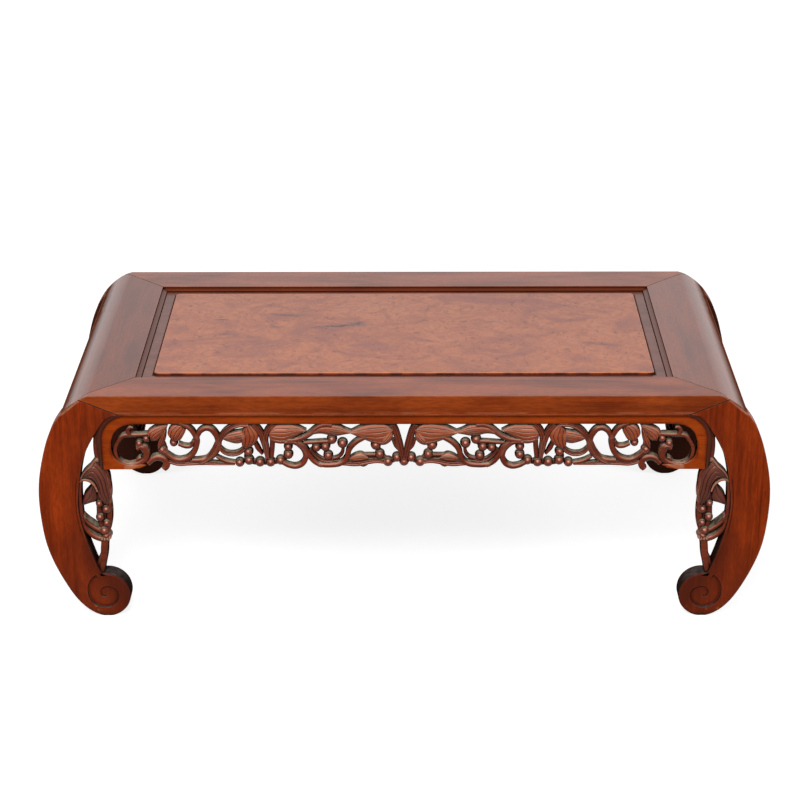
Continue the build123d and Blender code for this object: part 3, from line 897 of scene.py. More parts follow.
# %% Mix the burl
burl_tones = {
    "red": (0.330, 0.100, 0.056), "gold": (0.440, 0.146, 0.070), "plum": (0.240, 0.094, 0.084),
    "curl": (0.45, 0.16, 0.080), "knot": (0.11, 0.042, 0.036), "bruise": (0.21, 0.090, 0.078),
    "crack": (0.055, 0.028, 0.020), "rim": (0.060, 0.014, 0.007), "worn_rim": (0.20, 0.035, 0.010),
    "lip": (0.64, 0.21, 0.07),
}
# Where the cracks lie, in millimetres: centre, half length, half width, turn in degrees, and how dark.
burl_cracks = [
    ((-86, 27, 309), 56, 9, 8, 0.85),
    ((-60, 36, 309), 20, 12, 30, 0.75),
    ((-160, 72, 309), 52, 8, -4, 0.60),
    ((-248, 52, 309), 17, 5, -8, 0.70),
    ((-170, 24, 309), 20, 7, 0, 0.45),
    ((-238, -6, 309), 26, 8, 12, 0.40),
    ((262, -42, 309), 40, 7, -14, 0.40),
    ((120, 40, 309), 30, 6, 10, 0.30),
]


def healed_crack(tree, vector, centre, length, width, turn):
    """A long spot, 1 in its middle and 0 outside."""
    place = add_node(tree, "Mapping", {"vector_type": "TEXTURE"})
    place.inputs["Location"].default_value = Vector(centre) * mm
    place.inputs["Rotation"].default_value = (0, 0, radians(turn))
    place.inputs["Scale"].default_value = Vector((length, width, length)) * mm
    tree.links.new(vector, place.inputs["Vector"])
    spot = add_node(tree, "TexGradient", {"gradient_type": "SPHERICAL"})
    tree.links.new(place.outputs[0], spot.inputs["Vector"])
    return spot.outputs["Fac"]


def bent_place(tree, place):
    """The place moved a little by noise, so that straight things wander."""
    swirl = add_node(tree, "TexNoise", Scale=55.0, Detail=3.0)
    tree.links.new(place, swirl.inputs["Vector"])
    bent = add_node(tree, "VectorMath", {"operation": "MULTIPLY_ADD"})
    tree.links.new(swirl.outputs["Color"], bent.inputs[0])
    bent.inputs[1].default_value = Vector((9, 14, 0)) * mm
    tree.links.new(place, bent.inputs[2])
    return bent.outputs[0]


def burl():
    material, tree, shader = new_material("burl")
    place = own_place(tree)
    warm = noise(tree, place, (13, 17, 20), 4.0, 1.2)
    mottle = noise(tree, place, (48, 42, 60), 5.0, 2.6)
    curls = noise(tree, place, (210, 150, 200), 3.0, 1.8)
    knots = noise(tree, place, (135, 95, 150), 2.0, 0.8)
    colour = tint(tree, remap(tree, mottle, 0.36, 0.64), burl_tones["red"], burl_tones["gold"])
    for mask, tone, strength in (
        (remap(tree, warm, 0.46, 0.66), "plum", 0.80), (remap(tree, curls, 0.40, 0.66), "curl", 0.28),
        (remap(tree, knots, 0.60, 0.74), "knot", 0.6),
    ):
        colour = tint(tree, mask, colour, burl_tones[tone], strength=strength)
    wandering = bent_place(tree, place)
    torn = remap(tree, noise(tree, place, (170, 330, 170), 3.0, 1.5), 0.3, 0.7, -0.42, 0.42)
    for centre, length, width, turn, depth in burl_cracks:
        spot = healed_crack(tree, wandering, centre, length, width, turn)
        colour = tint(tree, remap(tree, spot, 0.0, 0.6), colour, burl_tones["bruise"], strength=depth * 0.7)
        ragged = remap(tree, plus(tree, spot, torn), 0.45, 0.85)
        colour = tint(tree, ragged, colour, burl_tones["crack"], strength=depth)
    level = facing(tree, "Z")
    along_rim = noise(tree, place, (70, 70, 10))
    # The upright rim is dark: dirt, and painted shade.
    rim = tint(tree, remap(tree, along_rim, 0.40, 0.60), burl_tones["rim"], burl_tones["worn_rim"])
    colour = tint(tree, remap(tree, level, 0.70, 0.40), colour, rim)
    # A bright lip where the rim rounds over: wear, and a painted highlight.
    lip = times(tree, remap(tree, level, 0.99, 0.90), remap(tree, level, 0.45, 0.60))
    broken_lip = times(tree, lip, remap(tree, along_rim, 0.44, 0.56, 0.25, 1.0))
    colour = tint(tree, broken_lip, colour, burl_tones["lip"])
    tree.links.new(colour, shader.inputs["Base Color"])
    tree.links.new(remap(tree, warm, 0.3, 0.7, 0.28, 0.42), shader.inputs["Roughness"])
    shader.inputs["IOR"].default_value = 1.38
    bump(tree, shader, knots, 0.2, -0.2)
    return material


burl_wood = burl()
print("burl mixed, cracks:", len(burl_cracks))

# %% [markdown]
# ## The mitred frame
#
# The four rails keep their joinery. What planes and years did to them is added. Every visible arris is
# rounded, so that each mitre closes as a fine V line. Round the recess for the panel the plain bevel gets a
# small step at its upper edge, as if a rebate plane had run there. And the lower edge of a long rail gets
# a wide chamfer, in which a bead is laid later.

# %% Work the rails
near = 0.1
arris = 0.8
step_drop = 2.6
moulding_depth = 6.5
bead_chamfer = 2.2
shoulder_foot = (430.0, 232.0)


def is_bevel(centre, normal):
    """Whether a face slopes down to the recess."""
    return 0.75 < normal.z < 0.95 and abs(centre.x) < recess_half[0] and abs(centre.y) < recess_half[1]


def select_faces(piece, where):
    """Selects the faces whose centre and normal answer to where(), and nothing else."""
    pick_up(piece)
    tools.mesh_select_mode = (False, False, True)
    bpy.ops.object.mode_set(mode="EDIT")
    bpy.ops.mesh.select_all(action="DESELECT")
    bpy.ops.object.mode_set(mode="OBJECT")
    for face in piece.data.polygons:
        face.select = where(face.center, face.normal)


def cut_step(rail):
    """Drops the upper edge of the bevel round the recess, which leaves a small upright step."""
    select_faces(rail, is_bevel)
    bpy.ops.object.mode_set(mode="EDIT")
    bpy.ops.mesh.extrude_region_move()
    bpy.ops.object.mode_set(mode="OBJECT")
    dropped = 0
    for vertex in rail.data.vertices:
        if vertex.select and vertex.co.z / mm > table_top - near:
            vertex.co.z -= step_drop * mm
            dropped += 1
    edit(rail, weld, face_outwards)
    return dropped


def rail_radius(x, y, z):
    """The arrises of a rail that can be seen or felt, with a chamfer for the bead, and not its joints."""
    on_long_face = abs(y) > front_face - near
    if on_long_face and z < rail_underside + 0.5:
        return bead_chamfer
    on_top = z > table_top - moulding_depth
    under_end = z < rail_underside + near and abs(x) > shoulder_foot[0] and abs(y) < shoulder_foot[1]
    return arris if on_top or on_long_face or under_end else 0


for name, wood in (
    ("front_rail", rail_wood), ("back_rail", rail_wood), ("left_end_rail", left_rail_wood),
    ("right_end_rail", right_rail_wood),
):
    rail = worked_copy(name, name + "_planed")
    print("step cut at", cut_step(rail), "corners, arrises rounded:", soften_edges(rail, rail_radius))
    shade(rail, 30)
    give_finish(rail, wood)
    finish_piece(rail, "frame_wood", name)

# %% [markdown]
# ## The board, its battens and the burl slab
#
# The floating board and the battens are plain planed wood, mostly hidden, so they keep their solids and
# take a finish. The burl slab is a sheet of its solid's size with two bevels: a wide one rounds its four
# upright corners, and a narrow one goes all round its upper edge, where hands have worn it.

# %% Finish the board and the slab
slab_corner = 5.5
slab_arris = 1.2
for name in ("left_batten", "middle_batten", "right_batten"):
    give_finish(nodes[name], batten_wood)
for name in ("frame_pegs", "bracket_dowels"):
    give_finish(nodes[name], peg_wood)
give_finish(nodes["panel_board"], board_wood)


def slab_corner_radius(x, y, z):
    at_corner = abs(x) > burl_high.x / mm - near and abs(y) > burl_high.y / mm - near
    return slab_corner if at_corner else 0


def slab_rim_radius(x, y, z):
    return slab_arris if z > burl_high.z / mm - near else 0


bpy.ops.mesh.primitive_cube_add(size=1)
slab = bpy.context.object
slab.name = "burl_slab"
stretch_cube = Matrix.Diagonal((*(burl_high - burl_low), 1))
slab.data.transform(Matrix.Translation((burl_low + burl_high) / 2) @ stretch_cube)
soften_edges(slab, slab_corner_radius, segments=5)
soften_edges(slab, slab_rim_radius, segments=3)
shade(slab)
give_finish(slab, burl_wood)
finish_piece(slab, "burl_wood", "burl_panel")

# %% [markdown]
# ## Tools for curves
#
# The aprons and brackets are openwork: vines, leaves and grapes cut from one board, with the board's back
# left flat. Each is drawn flat on the bench, x along the board, y its height above the floor, and z = 0 the
# board's face. Vines, borders, beads and the grooves of the feet are all curves: a line that carries a
# cross-section, or an outline that is filled. These tools draw one and turn it into a mesh.

# %% Draw curves


def curve_object(name, spline_kind, points, closed):
    curve = bpy.data.curves.new(name, "CURVE")
    curve.dimensions = "3D"
    spline = curve.splines.new(spline_kind)
    holder = spline.bezier_points if spline_kind == "BEZIER" else spline.points
    holder.add(len(points) - 1)
    spline.use_cyclic_u = closed
    return new_object(name, curve), holder


def flat_outline(name, points, unit=1.0):
    """A closed flat curve through points (x, y), given in this unit."""
    outline, holder = curve_object(name, "POLY", points, True)
    outline.data.dimensions = "2D"
    for point, (x, y) in zip(holder, points):
        point.co = (x * unit, y * unit, 0, 1)
    return outline


def carry(line, section):
    """Lets a line carry a cross-section, its front up, with closed ends."""
    line.data.twist_mode = "Z_UP"
    line.data.bevel_mode = "OBJECT"
    line.data.bevel_object = section
    line.data.use_fill_caps = True


def as_mesh(piece):
    pick_up(piece)
    bpy.ops.object.convert(target="MESH")
    return bpy.context.object


def smooth_line(points, share):
    """The place at a share, 0 to 1, along a smooth line through the points."""
    last = len(points) - 1
    reach = min(max(share, 0.0), 1.0) * last
    index = min(int(reach), last - 1)
    t = reach - index
    before, start, end, after = (Vector(points[min(max(index + k, 0), last)]) for k in (-1, 0, 1, 2))
    bend = 2 * before - 5 * start + 4 * end - after
    twist = 3 * start - before - 3 * end + after
    return (2 * start + (end - before) * t + bend * t**2 + twist * t**3) / 2


print("curve tools ready")

# %% [markdown]
# ## A vine
#
# A vine is a Bezier curve that carries a cross-section: round in front, with flutes if it is a stem, and
# straight down at its sides. The section is one unit wide, and each point's radius gives the vine its width
# there. It tapers towards either end. What reaches deep into the board is then levelled at the board's back.

# %% Carve vines
board_back = 10.8
sides_end = -6.5
vine_growth = 1.08
taper_share = 0.35


def saw_back(piece, back=board_back):
    """Cuts everything that reaches deep into the board off at its back."""
    for vertex in piece.data.vertices:
        if vertex.co.z < sides_end * mm:
            vertex.co.z = -back * mm


def cross_section(name, flutes, bulge=0.34, steps=12, depth=5.0):
    """A section one unit wide: a round front, fluted if asked, and straight sides."""
    points = [(0.5, -depth)]
    for step in range(steps + 1):
        angle = pi * step / steps
        cut = 1 - 0.4 * abs(sin(flutes * angle)) ** 3 if flutes else 1
        points.append((0.5 * cos(angle) * cut, -bulge + bulge * sin(angle) * cut))
    points.append((-0.5, -depth))
    return flat_outline(name, points)


sections = {
    "round": cross_section("round_section", 0),
    "fluted": cross_section("fluted_section", 3, steps=18),
    "humped": cross_section("humped_section", 0, bulge=0.9),
}


def vine(points, width, lift=-0.5, start=1.0, end=1.0, section="round", wood=vine_wood):
    """A strand through points (x, y), so wide, its front at a height. start and end are its tapers."""
    strand, holder = curve_object("vine", "BEZIER", points, False)
    strand.data.resolution_u = 6
    carry(strand, sections[section])
    last = len(points) - 1
    for index, (point, (x, y)) in enumerate(zip(holder, points)):
        point.co = Vector((x, y, lift)) * mm
        point.handle_left_type = point.handle_right_type = "AUTO"
        from_start = min(1.0, index / last / taper_share)
        from_end = min(1.0, (last - index) / last / taper_share)
        taper = (start + (1 - start) * from_start) * (end + (1 - end) * from_end)
        point.radius = width * vine_growth * mm * taper
    strand = as_mesh(strand)
    saw_back(strand)
    give_finish(strand, wood)
    return strand


def stem(points, width, lift, start=1.0, end=1.0):
    """A fluted vine."""
    return vine(points, width, lift, start, end, "fluted")


print("sections:", ", ".join(sections))

# %% [markdown]
# ## A leaf
#
# A leaf is a grid stretched between its upper and its lower edge, which are smooth lines from base to tip.
# It is domed across and along, and sharp grooves part its ribs. Its outline is then extruded down through
# the board, so that the leaf stands on wood of its own shape.

# %% Carve leaves


def through_board():
    """Extrudes what is selected down, past the back of any board."""
    bpy.ops.mesh.extrude_region_move(TRANSFORM_OT_translate={"value": (0, 0, -20 * mm)})


def leaf(base, upper, tip, lower, ribs=4, front=0.6, rise=3.0, groove=0.9, length_steps=22):
    """A leaf from base to tip between its upper and lower edges, with so many lengthwise ribs."""
    bpy.ops.mesh.primitive_grid_add(x_subdivisions=length_steps, y_subdivisions=ribs * 6, size=1)
    blade = bpy.context.object
    blade.name = "leaf"
    top_edge = [base, *upper, tip]
    low_edge = [base, *lower, tip]
    for vertex in blade.data.vertices:
        along = vertex.co.x + 0.5
        across = vertex.co.y + 0.5
        low = smooth_line(low_edge, along)
        high = smooth_line(top_edge, along)
        place = low + (high - low) * across
        dome = sin(pi * across) ** 0.7 * sin(pi * (0.1 + 0.8 * along)) ** 0.5
        cut = (1 - abs(sin(pi * ribs * across))) ** 5 * groove * sin(pi * (0.05 + 0.9 * along)) ** 0.5
        vertex.co = Vector((place.x, place.y, front - rise + rise * dome - cut)) * mm
    edit(blade, weld, face_outwards)
    edit(blade, through_board)
    saw_back(blade)
    edit(blade, weld, face_outwards)
    give_finish(blade, leaf_wood)
    return blade


print("leaf tool ready")

# %% [markdown]
# ## A grape
#
# A grape is a profile spun round: a ball that stands a little proud of the board's face, and behind it a
# collar of wood that runs to the back.

# %% Carve grapes
full_turn = 2 * pi


def grape_profile(radius, rise, steps=7):
    points = [(0, rise)]
    for step in range(1, steps + 1):
        angle = pi / 2 - 0.58 * pi * step / steps
        points.append((radius * cos(angle), rise - radius + radius * sin(angle)))
    collar = radius + 0.5
    return points + [(collar, points[-1][1] - 0.6), (collar, -board_back), (0, -board_back)]


def grape(x, y, radius=5.5, rise=0.3, sides=18, wood=grape_wood):
    profile = bpy.data.meshes.new("grape")
    rows = [(across * mm, 0, height * mm) for across, height in grape_profile(radius, rise)]
    profile.from_pydata(rows, [(k, k + 1) for k in range(len(rows) - 1)], [])
    berry = new_object("grape", profile)
    edit(berry, lambda: bpy.ops.mesh.spin(steps=sides, angle=full_turn, center=(0, 0, 0), axis=(0, 0, 1)))
    edit(berry, weld, face_outwards)
    berry.data.transform(Matrix.Translation(Vector((x, y, 0)) * mm))
    give_finish(berry, wood)
    return berry


print("points in a grape's profile:", len(grape_profile(5.5, 0.3)))

# %% [markdown]
# ## Back and walls
#
# The sawn walls of the openwork and the flat back never feel a cloth, so they get a dull finish of their
# own, painted nearly black as shade. They are the faces that lie deep and don't look out of the board. And
# each point notes how much it faces out, while the board still lies flat on the bench, for the marks on the
# carving to read later.

# %% Finish walls and note what faces out
walls_start = -2.6


def note_outward(piece):
    noted = piece.data.attributes.new("faces_out", "FLOAT", "POINT")
    for mark, vertex in zip(noted.data, piece.data.vertices):
        mark.value = vertex.normal.z


def finish_walls(piece, wood):
    note_outward(piece)
    piece.data.materials.append(wood)
    last = len(piece.data.materials) - 1
    for face in piece.data.polygons:
        if face.center.z < walls_start * mm and face.normal.z < 0.6:
            face.material_index = last


print("walls start", -walls_start, "mm deep")

# %% [markdown]
# ## The grapevine of the aprons: its end stretch
#
# A long apron is symmetrical, so half of it is carved and mirrored. Its pattern has two stretches. The end
# stretch runs from the rounded corner, with a hooked leaf, two small leaves, a ring and a teardrop, to a big
# two-lobed leaf beside a pair of stems. An end apron is shorter, and takes the end stretch alone. All
# places are millimetres from the middle of the table and up from the floor.

# %% Carve the end stretch
end_parts = [
    # the hooked leaf that grows from the border, and the loop behind it
    vine([(358, 214.5), (350, 215.5), (343, 218), (335, 222), (330, 228), (331, 236), (336, 242),
          (341, 239)], 8, -0.2, start=0.55, end=0.55),
    vine([(336, 227), (339, 226), (343, 223)], 4, -0.5, end=0.5),
    vine([(322, 260), (335, 258.5), (350, 258), (358, 257), (365, 249), (369, 240), (369, 232), (365, 223),
          (355, 217.5), (345, 218)], 5, -1.5, start=0.8),
    vine([(349, 258), (352, 265), (349, 269), (345, 269)], 4.5, -0.5, end=0.5),
    vine([(342, 241), (333, 243), (328, 238), (330, 229)], 4.5, -2.0),
    vine([(328, 219), (319, 226.5), (310, 226.5), (304.5, 222), (304.5, 215), (308, 211)],
         8.5, -0.3, start=0.7, end=0.8),
    vine([(309, 246), (308, 238), (306, 230), (303, 222)], 6, -3.0),
    grape(338, 246, 5),
    grape(329, 253, 5),
    grape(309, 237, 6),
    # a drooping leaf, and a squarish leaf beside it
    leaf((300, 273), [(310, 272), (320, 269), (327, 262)], (322, 251), [(304, 263), (309, 256), (314, 251)]),
    leaf((303, 271), [(309, 260), (314, 249)], (314, 239), [(303, 259), (306, 247)], ribs=3, front=0.2),
    leaf((284, 272), [(292, 273), (299, 268), (301, 259)], (294, 250), [(278, 266), (281, 258), (286, 251)],
         front=1.0),
    grape(294, 247, 5),
    # the ring, its inner curl, and the vine that runs along the bottom
    vine([(286, 274), (276, 270), (268, 261), (264.5, 250), (266, 240), (272, 230), (281, 224.5), (291, 224),
          (300, 229), (308, 236)], 6.5, -0.2, start=0.8, end=0.9),
    vine([(288, 246), (279, 242.5), (272, 243.5), (268.5, 250)], 5, -1.0, start=0.8, end=0.7),
    stem([(301, 222), (290, 218.5), (276, 219), (262, 219.5), (240, 218.5), (217, 217.5)], 6.5, -1.0,
         start=0.9, end=0.25),
    # the teardrop, and the long S that climbs from the bottom to the border
    vine([(265, 254), (258, 265), (249, 267.5), (241, 261), (237, 249), (240, 236), (248, 227), (262, 223),
          (271, 223)], 7.5, -0.6, start=0.8, end=0.7),
    stem([(262, 219), (252, 225), (244, 234), (238, 246), (232, 257), (224, 266), (214, 271.5), (198, 273)],
         7, 0.2, start=0.8, end=0.9),
    # the two-lobed leaf, and the vines under it
    leaf((196, 270), [(206, 265), (218, 263), (228, 259)], (234, 254), [(201, 252), (212, 246), (225, 249)],
         ribs=5, front=-0.4, groove=1.2),
    leaf((198, 273), [(207, 263), (207, 252), (207, 244)], (203, 240), [(190, 268), (185, 258), (191, 245)],
         front=1.0),
    stem([(236, 241), (229, 234), (220, 231.5), (210, 234), (204, 239)], 6, -0.8, start=0.7, end=0.8),
    vine([(240, 228), (228, 221.5), (216, 219)], 4.5, -1.5, start=0.7),
    grape(199, 234, 6),
    grape(210.5, 219, 5.8),
    grape(198.5, 222, 6.2),
    grape(184.5, 219.5, 6.2),
    vine([(203, 246), (200, 234), (201, 223), (192, 219), (180, 218.5)], 7, -5.0),
    # one stem of the pair, and the dark blade beside it
    stem([(192, 273), (184, 263), (179, 250), (176.5, 238), (174.5, 226)], 8, -0.2, end=0.55),
    vine([(191, 250), (187, 240), (181, 231)], 6, -3.0, start=0.7, end=0.5),
]
print("end stretch:", len(end_parts), "forms")

# %% [markdown]
# ## The grapevine of the aprons: its middle stretch
#
# The middle stretch runs on from the pair of stems with a long leaf, a loop, a swag of vines with grapes in
# it, and a last leaf beside the stems in the middle of the table. Vines that lie deep behind the grapes hold
# them to the board, as the carver had to leave wood there.

# %% Carve the middle stretch
middle_parts = [
    # the other stem of the pair, and the stem that turns down beside it
    stem([(166, 273), (174, 263), (177.5, 250), (176, 238), (175, 226)], 8, -0.6, end=0.55),
    vine([(168, 252), (168.5, 240), (170, 227)], 6, -2.5),
    grape(171, 219.5, 6.2),
    grape(158, 222, 6),
    grape(148, 241, 5.5),
    grape(148, 230, 6),
    vine([(180, 218.5), (168, 219), (157, 222), (149, 230), (148, 246)], 7, -5.0),
    # the long leaf and the loop under it
    leaf((172, 261), [(165, 271), (152, 273), (138, 272)], (124, 265), [(170, 250), (155, 246), (143, 253)],
         ribs=5, front=0.6),
    vine([(152, 248), (143, 249), (132, 243), (126, 232), (128, 221), (136, 215), (146, 215.5), (155, 220)],
         6.5, -0.2, start=0.7, end=0.8),
    # the swag: a vine that swings over to a bundle of leaves, and the bowl with its grapes
    vine([(149, 251), (137, 252), (128, 255), (120, 260), (112, 267), (103, 272), (92, 272)], 6.5, 0.0,
         start=0.7, end=0.8),
    leaf((132, 250), [(118, 264), (103, 272), (85, 272), (72, 266)], (60, 262),
         [(122, 257), (106, 260), (90, 256.5), (75, 259)], ribs=5, front=0.2, groove=1.3, length_steps=30),
    vine([(128, 247), (118, 247.5), (105, 248.5), (94, 249)], 4.5, -2.0),
    vine([(136, 249), (127, 241), (121, 230), (114, 221), (105, 215.5)], 6.5, 0.0, start=0.8, end=0.7),
    vine([(110, 217.5), (95, 216.5), (80, 219.5), (73, 227), (70, 238), (63, 247), (54, 253), (48, 256)],
         6.5, 0.1, start=0.9, end=0.8),
    stem([(120, 238), (112, 228), (103, 222.5), (92, 222)], 5, -2.5),
    vine([(92, 224), (82, 228), (78, 236), (79, 244)], 4, -3.5),
    grape(92, 251, 6.3),
    grape(78.5, 245.5, 6.5),
    grape(100.5, 241, 6),
    grape(112, 240, 5.6),
    grape(97, 228.5, 6),
    vine([(94, 256), (93, 250), (99, 241), (98, 228), (94, 221)], 7, -5.0),
    vine([(116, 241), (108, 240), (99, 240)], 6, -5.0),
    # the leaf that lies along the bottom, with the vine it grows on
    leaf((72, 225), [(64, 231), (56, 233.5), (50, 231)], (45, 226), [(66, 221), (57, 221), (50, 223)],
         ribs=3, front=-0.8),
    stem([(108, 217), (80, 219), (60, 218), (45, 221), (34, 222), (22, 220)], 7, -1.0, start=0.9, end=0.7),
    vine([(58, 218), (52, 216.5), (46, 219)], 5, -1.4, start=0.5, end=0.5),
    vine([(52, 229), (44, 229), (36, 229)], 5, -4.0),
    # the last leaf, its grapes, and one stem of the middle pair
    leaf((14, 266), [(24, 273), (40, 274), (56, 270)], (71, 262), [(15, 252), (26, 244), (44, 249)], ribs=5,
         front=0.8, groove=1.2, length_steps=28),
    leaf((17, 264), [(23, 262), (28, 254)], (30, 246), [(14, 256), (20, 248)], ribs=2, front=1.0),
    grape(36, 243, 6.3),
    grape(31, 230.5, 6),
    grape(20.5, 220, 6.3),
    grape(9, 226, 6),
    vine([(38, 248), (34, 238), (29, 229), (20, 221), (8, 224)], 7, -5.0),
    stem([(15, 272), (11, 264), (8, 254), (5, 242), (2.5, 230), (0.5, 222)], 8, -0.2, end=0.6),
    vine([(14, 252), (10, 243), (5, 235)], 6, -3.0, start=0.7, end=0.5),
]
print("middle stretch:", len(middle_parts), "forms")

# %% [markdown]
# ## The border
#
# Round the carving runs a flat border: a band under the rail that turns down at each end. It is one filled
# curve, thickened and with its arrises taken off, so that it closes into a single board. Its outline is
# drawn for the right half only, from the middle of its top edge round to the middle of its inner edge, and
# the left half is the same points in the other order.

# %% Cut a border
border_arris = 0.7
corner_radius = 36.0
corner_steps = 8
foot_drop = 2.6
apron_foot = 211.0 - foot_drop


def border_outline(half):
    turn = half - corner_radius
    arc = []
    for step in range(1, corner_steps):
        angle = pi / 2 * step / corner_steps
        arc.append((turn + corner_radius * sin(angle), rail_underside - corner_radius * (1 - cos(angle))))
    corner_end = (half, rail_underside - corner_radius)
    outer = [(turn, rail_underside), *arc, corner_end, (half - 0.7, 225), (half - 2.4, apron_foot)]
    inner_edge = [
        (50, 213.5), (58, 218), (48, 218.5), (38, 217.5), (30, 218.5), (24, 221), (19, 225), (15.5, 231),
        (post_inset, 240), (13.8, 250), (17, 261), (23, 268), (31, 272.3), (band_inset, band_edge),
    ]
    outer.append((half - 38, apron_foot))
    return outer + [(half - inset, height - carving_drop) for inset, height in inner_edge]


def border(half, wood):
    right = border_outline(half)
    left = [(-x, y) for x, y in reversed(right)]
    board = flat_outline("border", right + left, mm)
    board.data.fill_mode = "BOTH"
    board.data.extrude = (board_back / 2 - border_arris) * mm
    board.data.bevel_depth = border_arris * mm
    board.data.bevel_resolution = 1
    board.data.offset = -border_arris * mm
    board = as_mesh(board)
    board.data.transform(Matrix.Translation((0, 0, -board_back / 2 * mm)))
    edit(board, weld, face_outwards)
    give_finish(board, wood)
    return board


print("points in a border:", 2 * len(border_outline(pattern_half)))

# %% [markdown]
# ## The aprons put together
#
# The half pattern gets a Mirror modifier and joins its border. An end apron's pattern is stretched a little,
# to fill its shorter board. The finished apron stands up by a quarter turn about X, moves out to its face,
# and turns about Z to the side of the table where it belongs.

# %% Put the aprons in their places
stretch_start = 178.5


def mirrored(piece):
    apply_modifier(piece, "MIRROR", use_mirror_merge=False)
    edit(piece, face_outwards)
    return piece


def bordered(name, carving, half, wood):
    """Sets a carving at its height and joins it to its border."""
    carving.data.transform(Matrix.Translation((0, -carving_drop * mm, 0)))
    shade(carving)
    apron = joined(name, [carving, border(half, wood)])
    finish_walls(apron, wall_wood)
    return apron


def stand_up(piece, face, turn):
    """From the bench to the table: upright, out to its face, and round to its side."""
    out = Matrix.Translation((0, -face * mm, 0))
    piece.data.transform(Matrix.Rotation(radians(turn), 4, "Z") @ out @ Matrix.Rotation(pi / 2, 4, "X"))


def place_apron(apron, name, face, turn, replaced):
    board = copy_of(apron, name)
    stand_up(board, face, turn)
    finish_piece(board, "carved_wood", replaced)


end_half = joined("end_half", [copy_of(part, part.name) for part in end_parts])
long_half = joined("long_half", end_parts + middle_parts)
stretch = end_apron_half / (pattern_half - stretch_start)
to_middle = Matrix.Translation((-stretch_start * mm, 0, 0))
end_half.data.transform(Matrix.Diagonal((stretch, 1, 1, 1)) @ to_middle)
centre_grape = grape(0, 220.5, 6)
long_carving = joined("long_carving", [mirrored(long_half), centre_grape])
long_apron = bordered("long_apron", long_carving, pattern_half, border_wood)
end_apron = bordered("end_apron", mirrored(end_half), end_apron_half, end_border_wood)
place_apron(long_apron, "carved_front_apron", apron_face, 0, "front_apron")
place_apron(long_apron, "carved_back_apron", apron_face, 180, "back_apron")
place_apron(end_apron, "carved_left_apron", end_apron_face, -90, "left_end_apron")
place_apron(end_apron, "carved_right_apron", end_apron_face, 90, "right_end_apron")
for pattern in (long_apron, end_apron):
    bpy.data.objects.remove(pattern)

# %% [markdown]
# ## The brackets
#
# In the C of each leg stands a bracket, carved like the aprons but from thicker wood: a slender post, a leaf
# that folds over towards the leg, a hanging bunch of grapes, and a ringed knob on the stem that stands on
# the scroll. Its faces are turned outwards before its back is sawn, because the saw flattens a few of them,
# and a flattened one has no outside. It is carved once and copied to the four corners. A copy with a
# negative scale is turned inside out, so its faces are turned outwards again.

# %% Carve the bracket
bracket_face = 237.0
bracket_back = 15.8
corners = (("front_left", -1, 1), ("front_right", 1, 1), ("back_left", -1, -1), ("back_right", 1, -1))
bracket_parts = [
    # the post, the small knob on it, and the leaf that folds over from its left tip, with its two lips
    vine([(388, 284), (390, 268), (392, 250), (392.5, 235), (391, 221)], 8.5, -2.0),
    grape(392.2, 222, 3.4, 0.6, wood=rubbed_wood),
    leaf((418, 194), [(412, 203), (405, 211), (397, 219.5), (390, 216), (384, 206.5), (380.5, 196),
         (379.5, 185), (378, 173)], (383, 157),
         [(413, 192.5), (408, 193.5), (402.5, 192), (398, 187), (395.5, 178), (394, 169), (390, 162)],
         front=0.4, rise=4.0, length_steps=40),
    leaf((399, 190), [(406, 181), (412, 174), (415, 166)], (416.3, 156.5),
         [(396, 178), (396, 164), (405, 160)], ribs=2, front=-1.6),
    vine([(421, 189), (415, 193.5), (408, 194), (402, 191), (397.5, 186), (394.5, 178)], 3.0, 0.4, end=0.6,
         wood=rubbed_wood),
    vine([(393, 223.5), (397.5, 218.5), (401.5, 213), (407, 208), (412, 202.5), (415, 197)], 2.4, -0.4,
         end=0.7, wood=rubbed_wood),
    vine([(388, 214), (382, 203), (380, 188), (379.5, 172), (382, 160)], 5, -4.0),
    # the bunch of grapes and the wood behind it
    vine([(384, 178), (382, 160), (381.5, 145), (383, 130), (387, 116)], 8, -4.5),
    vine([(394, 172), (394, 154), (394, 140), (389, 116)], 8, -5.0),
    vine([(388.5, 168), (388.5, 150), (388.5, 135), (388, 118)], 8, -6.0),
    grape(393.3, 159.4, 4.8, 0.4),
    grape(384.8, 151.2, 5.5, 0.8),
    grape(393.4, 140, 5.8, 0.6),
    grape(385.2, 131.8, 5.0, 0.3),
    grape(388.7, 120.6, 6.0, 0.6),
    # the strip along the leg, which leaves it low down and runs to the knob, and its broad back
    vine([(416, 197), (418, 187), (418.8, 172), (418.8, 157), (418.3, 143), (416.8, 132.5), (413.8, 125.5),
          (410, 120.5), (405.5, 116), (399.5, 111.8), (392, 109)], 6.8, -0.4),
    vine([(417.5, 142), (413, 134.5), (407, 128.5), (399.5, 123), (390, 118)], 11, -3.0, start=0.6,
         section="humped"),
    # the ringed knob and the stem
    grape(387, 112.5, 6.8, -1.0),
    grape(392, 110.2, 1.9, 1.0, 12, rubbed_wood),
    grape(388.6, 110, 1.9, 1.2, 12, rubbed_wood),
    grape(385.1, 110.2, 1.9, 1.0, 12, rubbed_wood),
    grape(382.2, 111.6, 1.6, 0.6, 12, rubbed_wood),
    vine([(388.5, 110), (389.8, 98), (391, 86), (393.5, 74), (396, 61)], 9.0, -0.8, end=0.95),
    vine([(393, 88), (397, 76), (402, 67), (405, 62)], 7, -2.5, start=0.6),
]
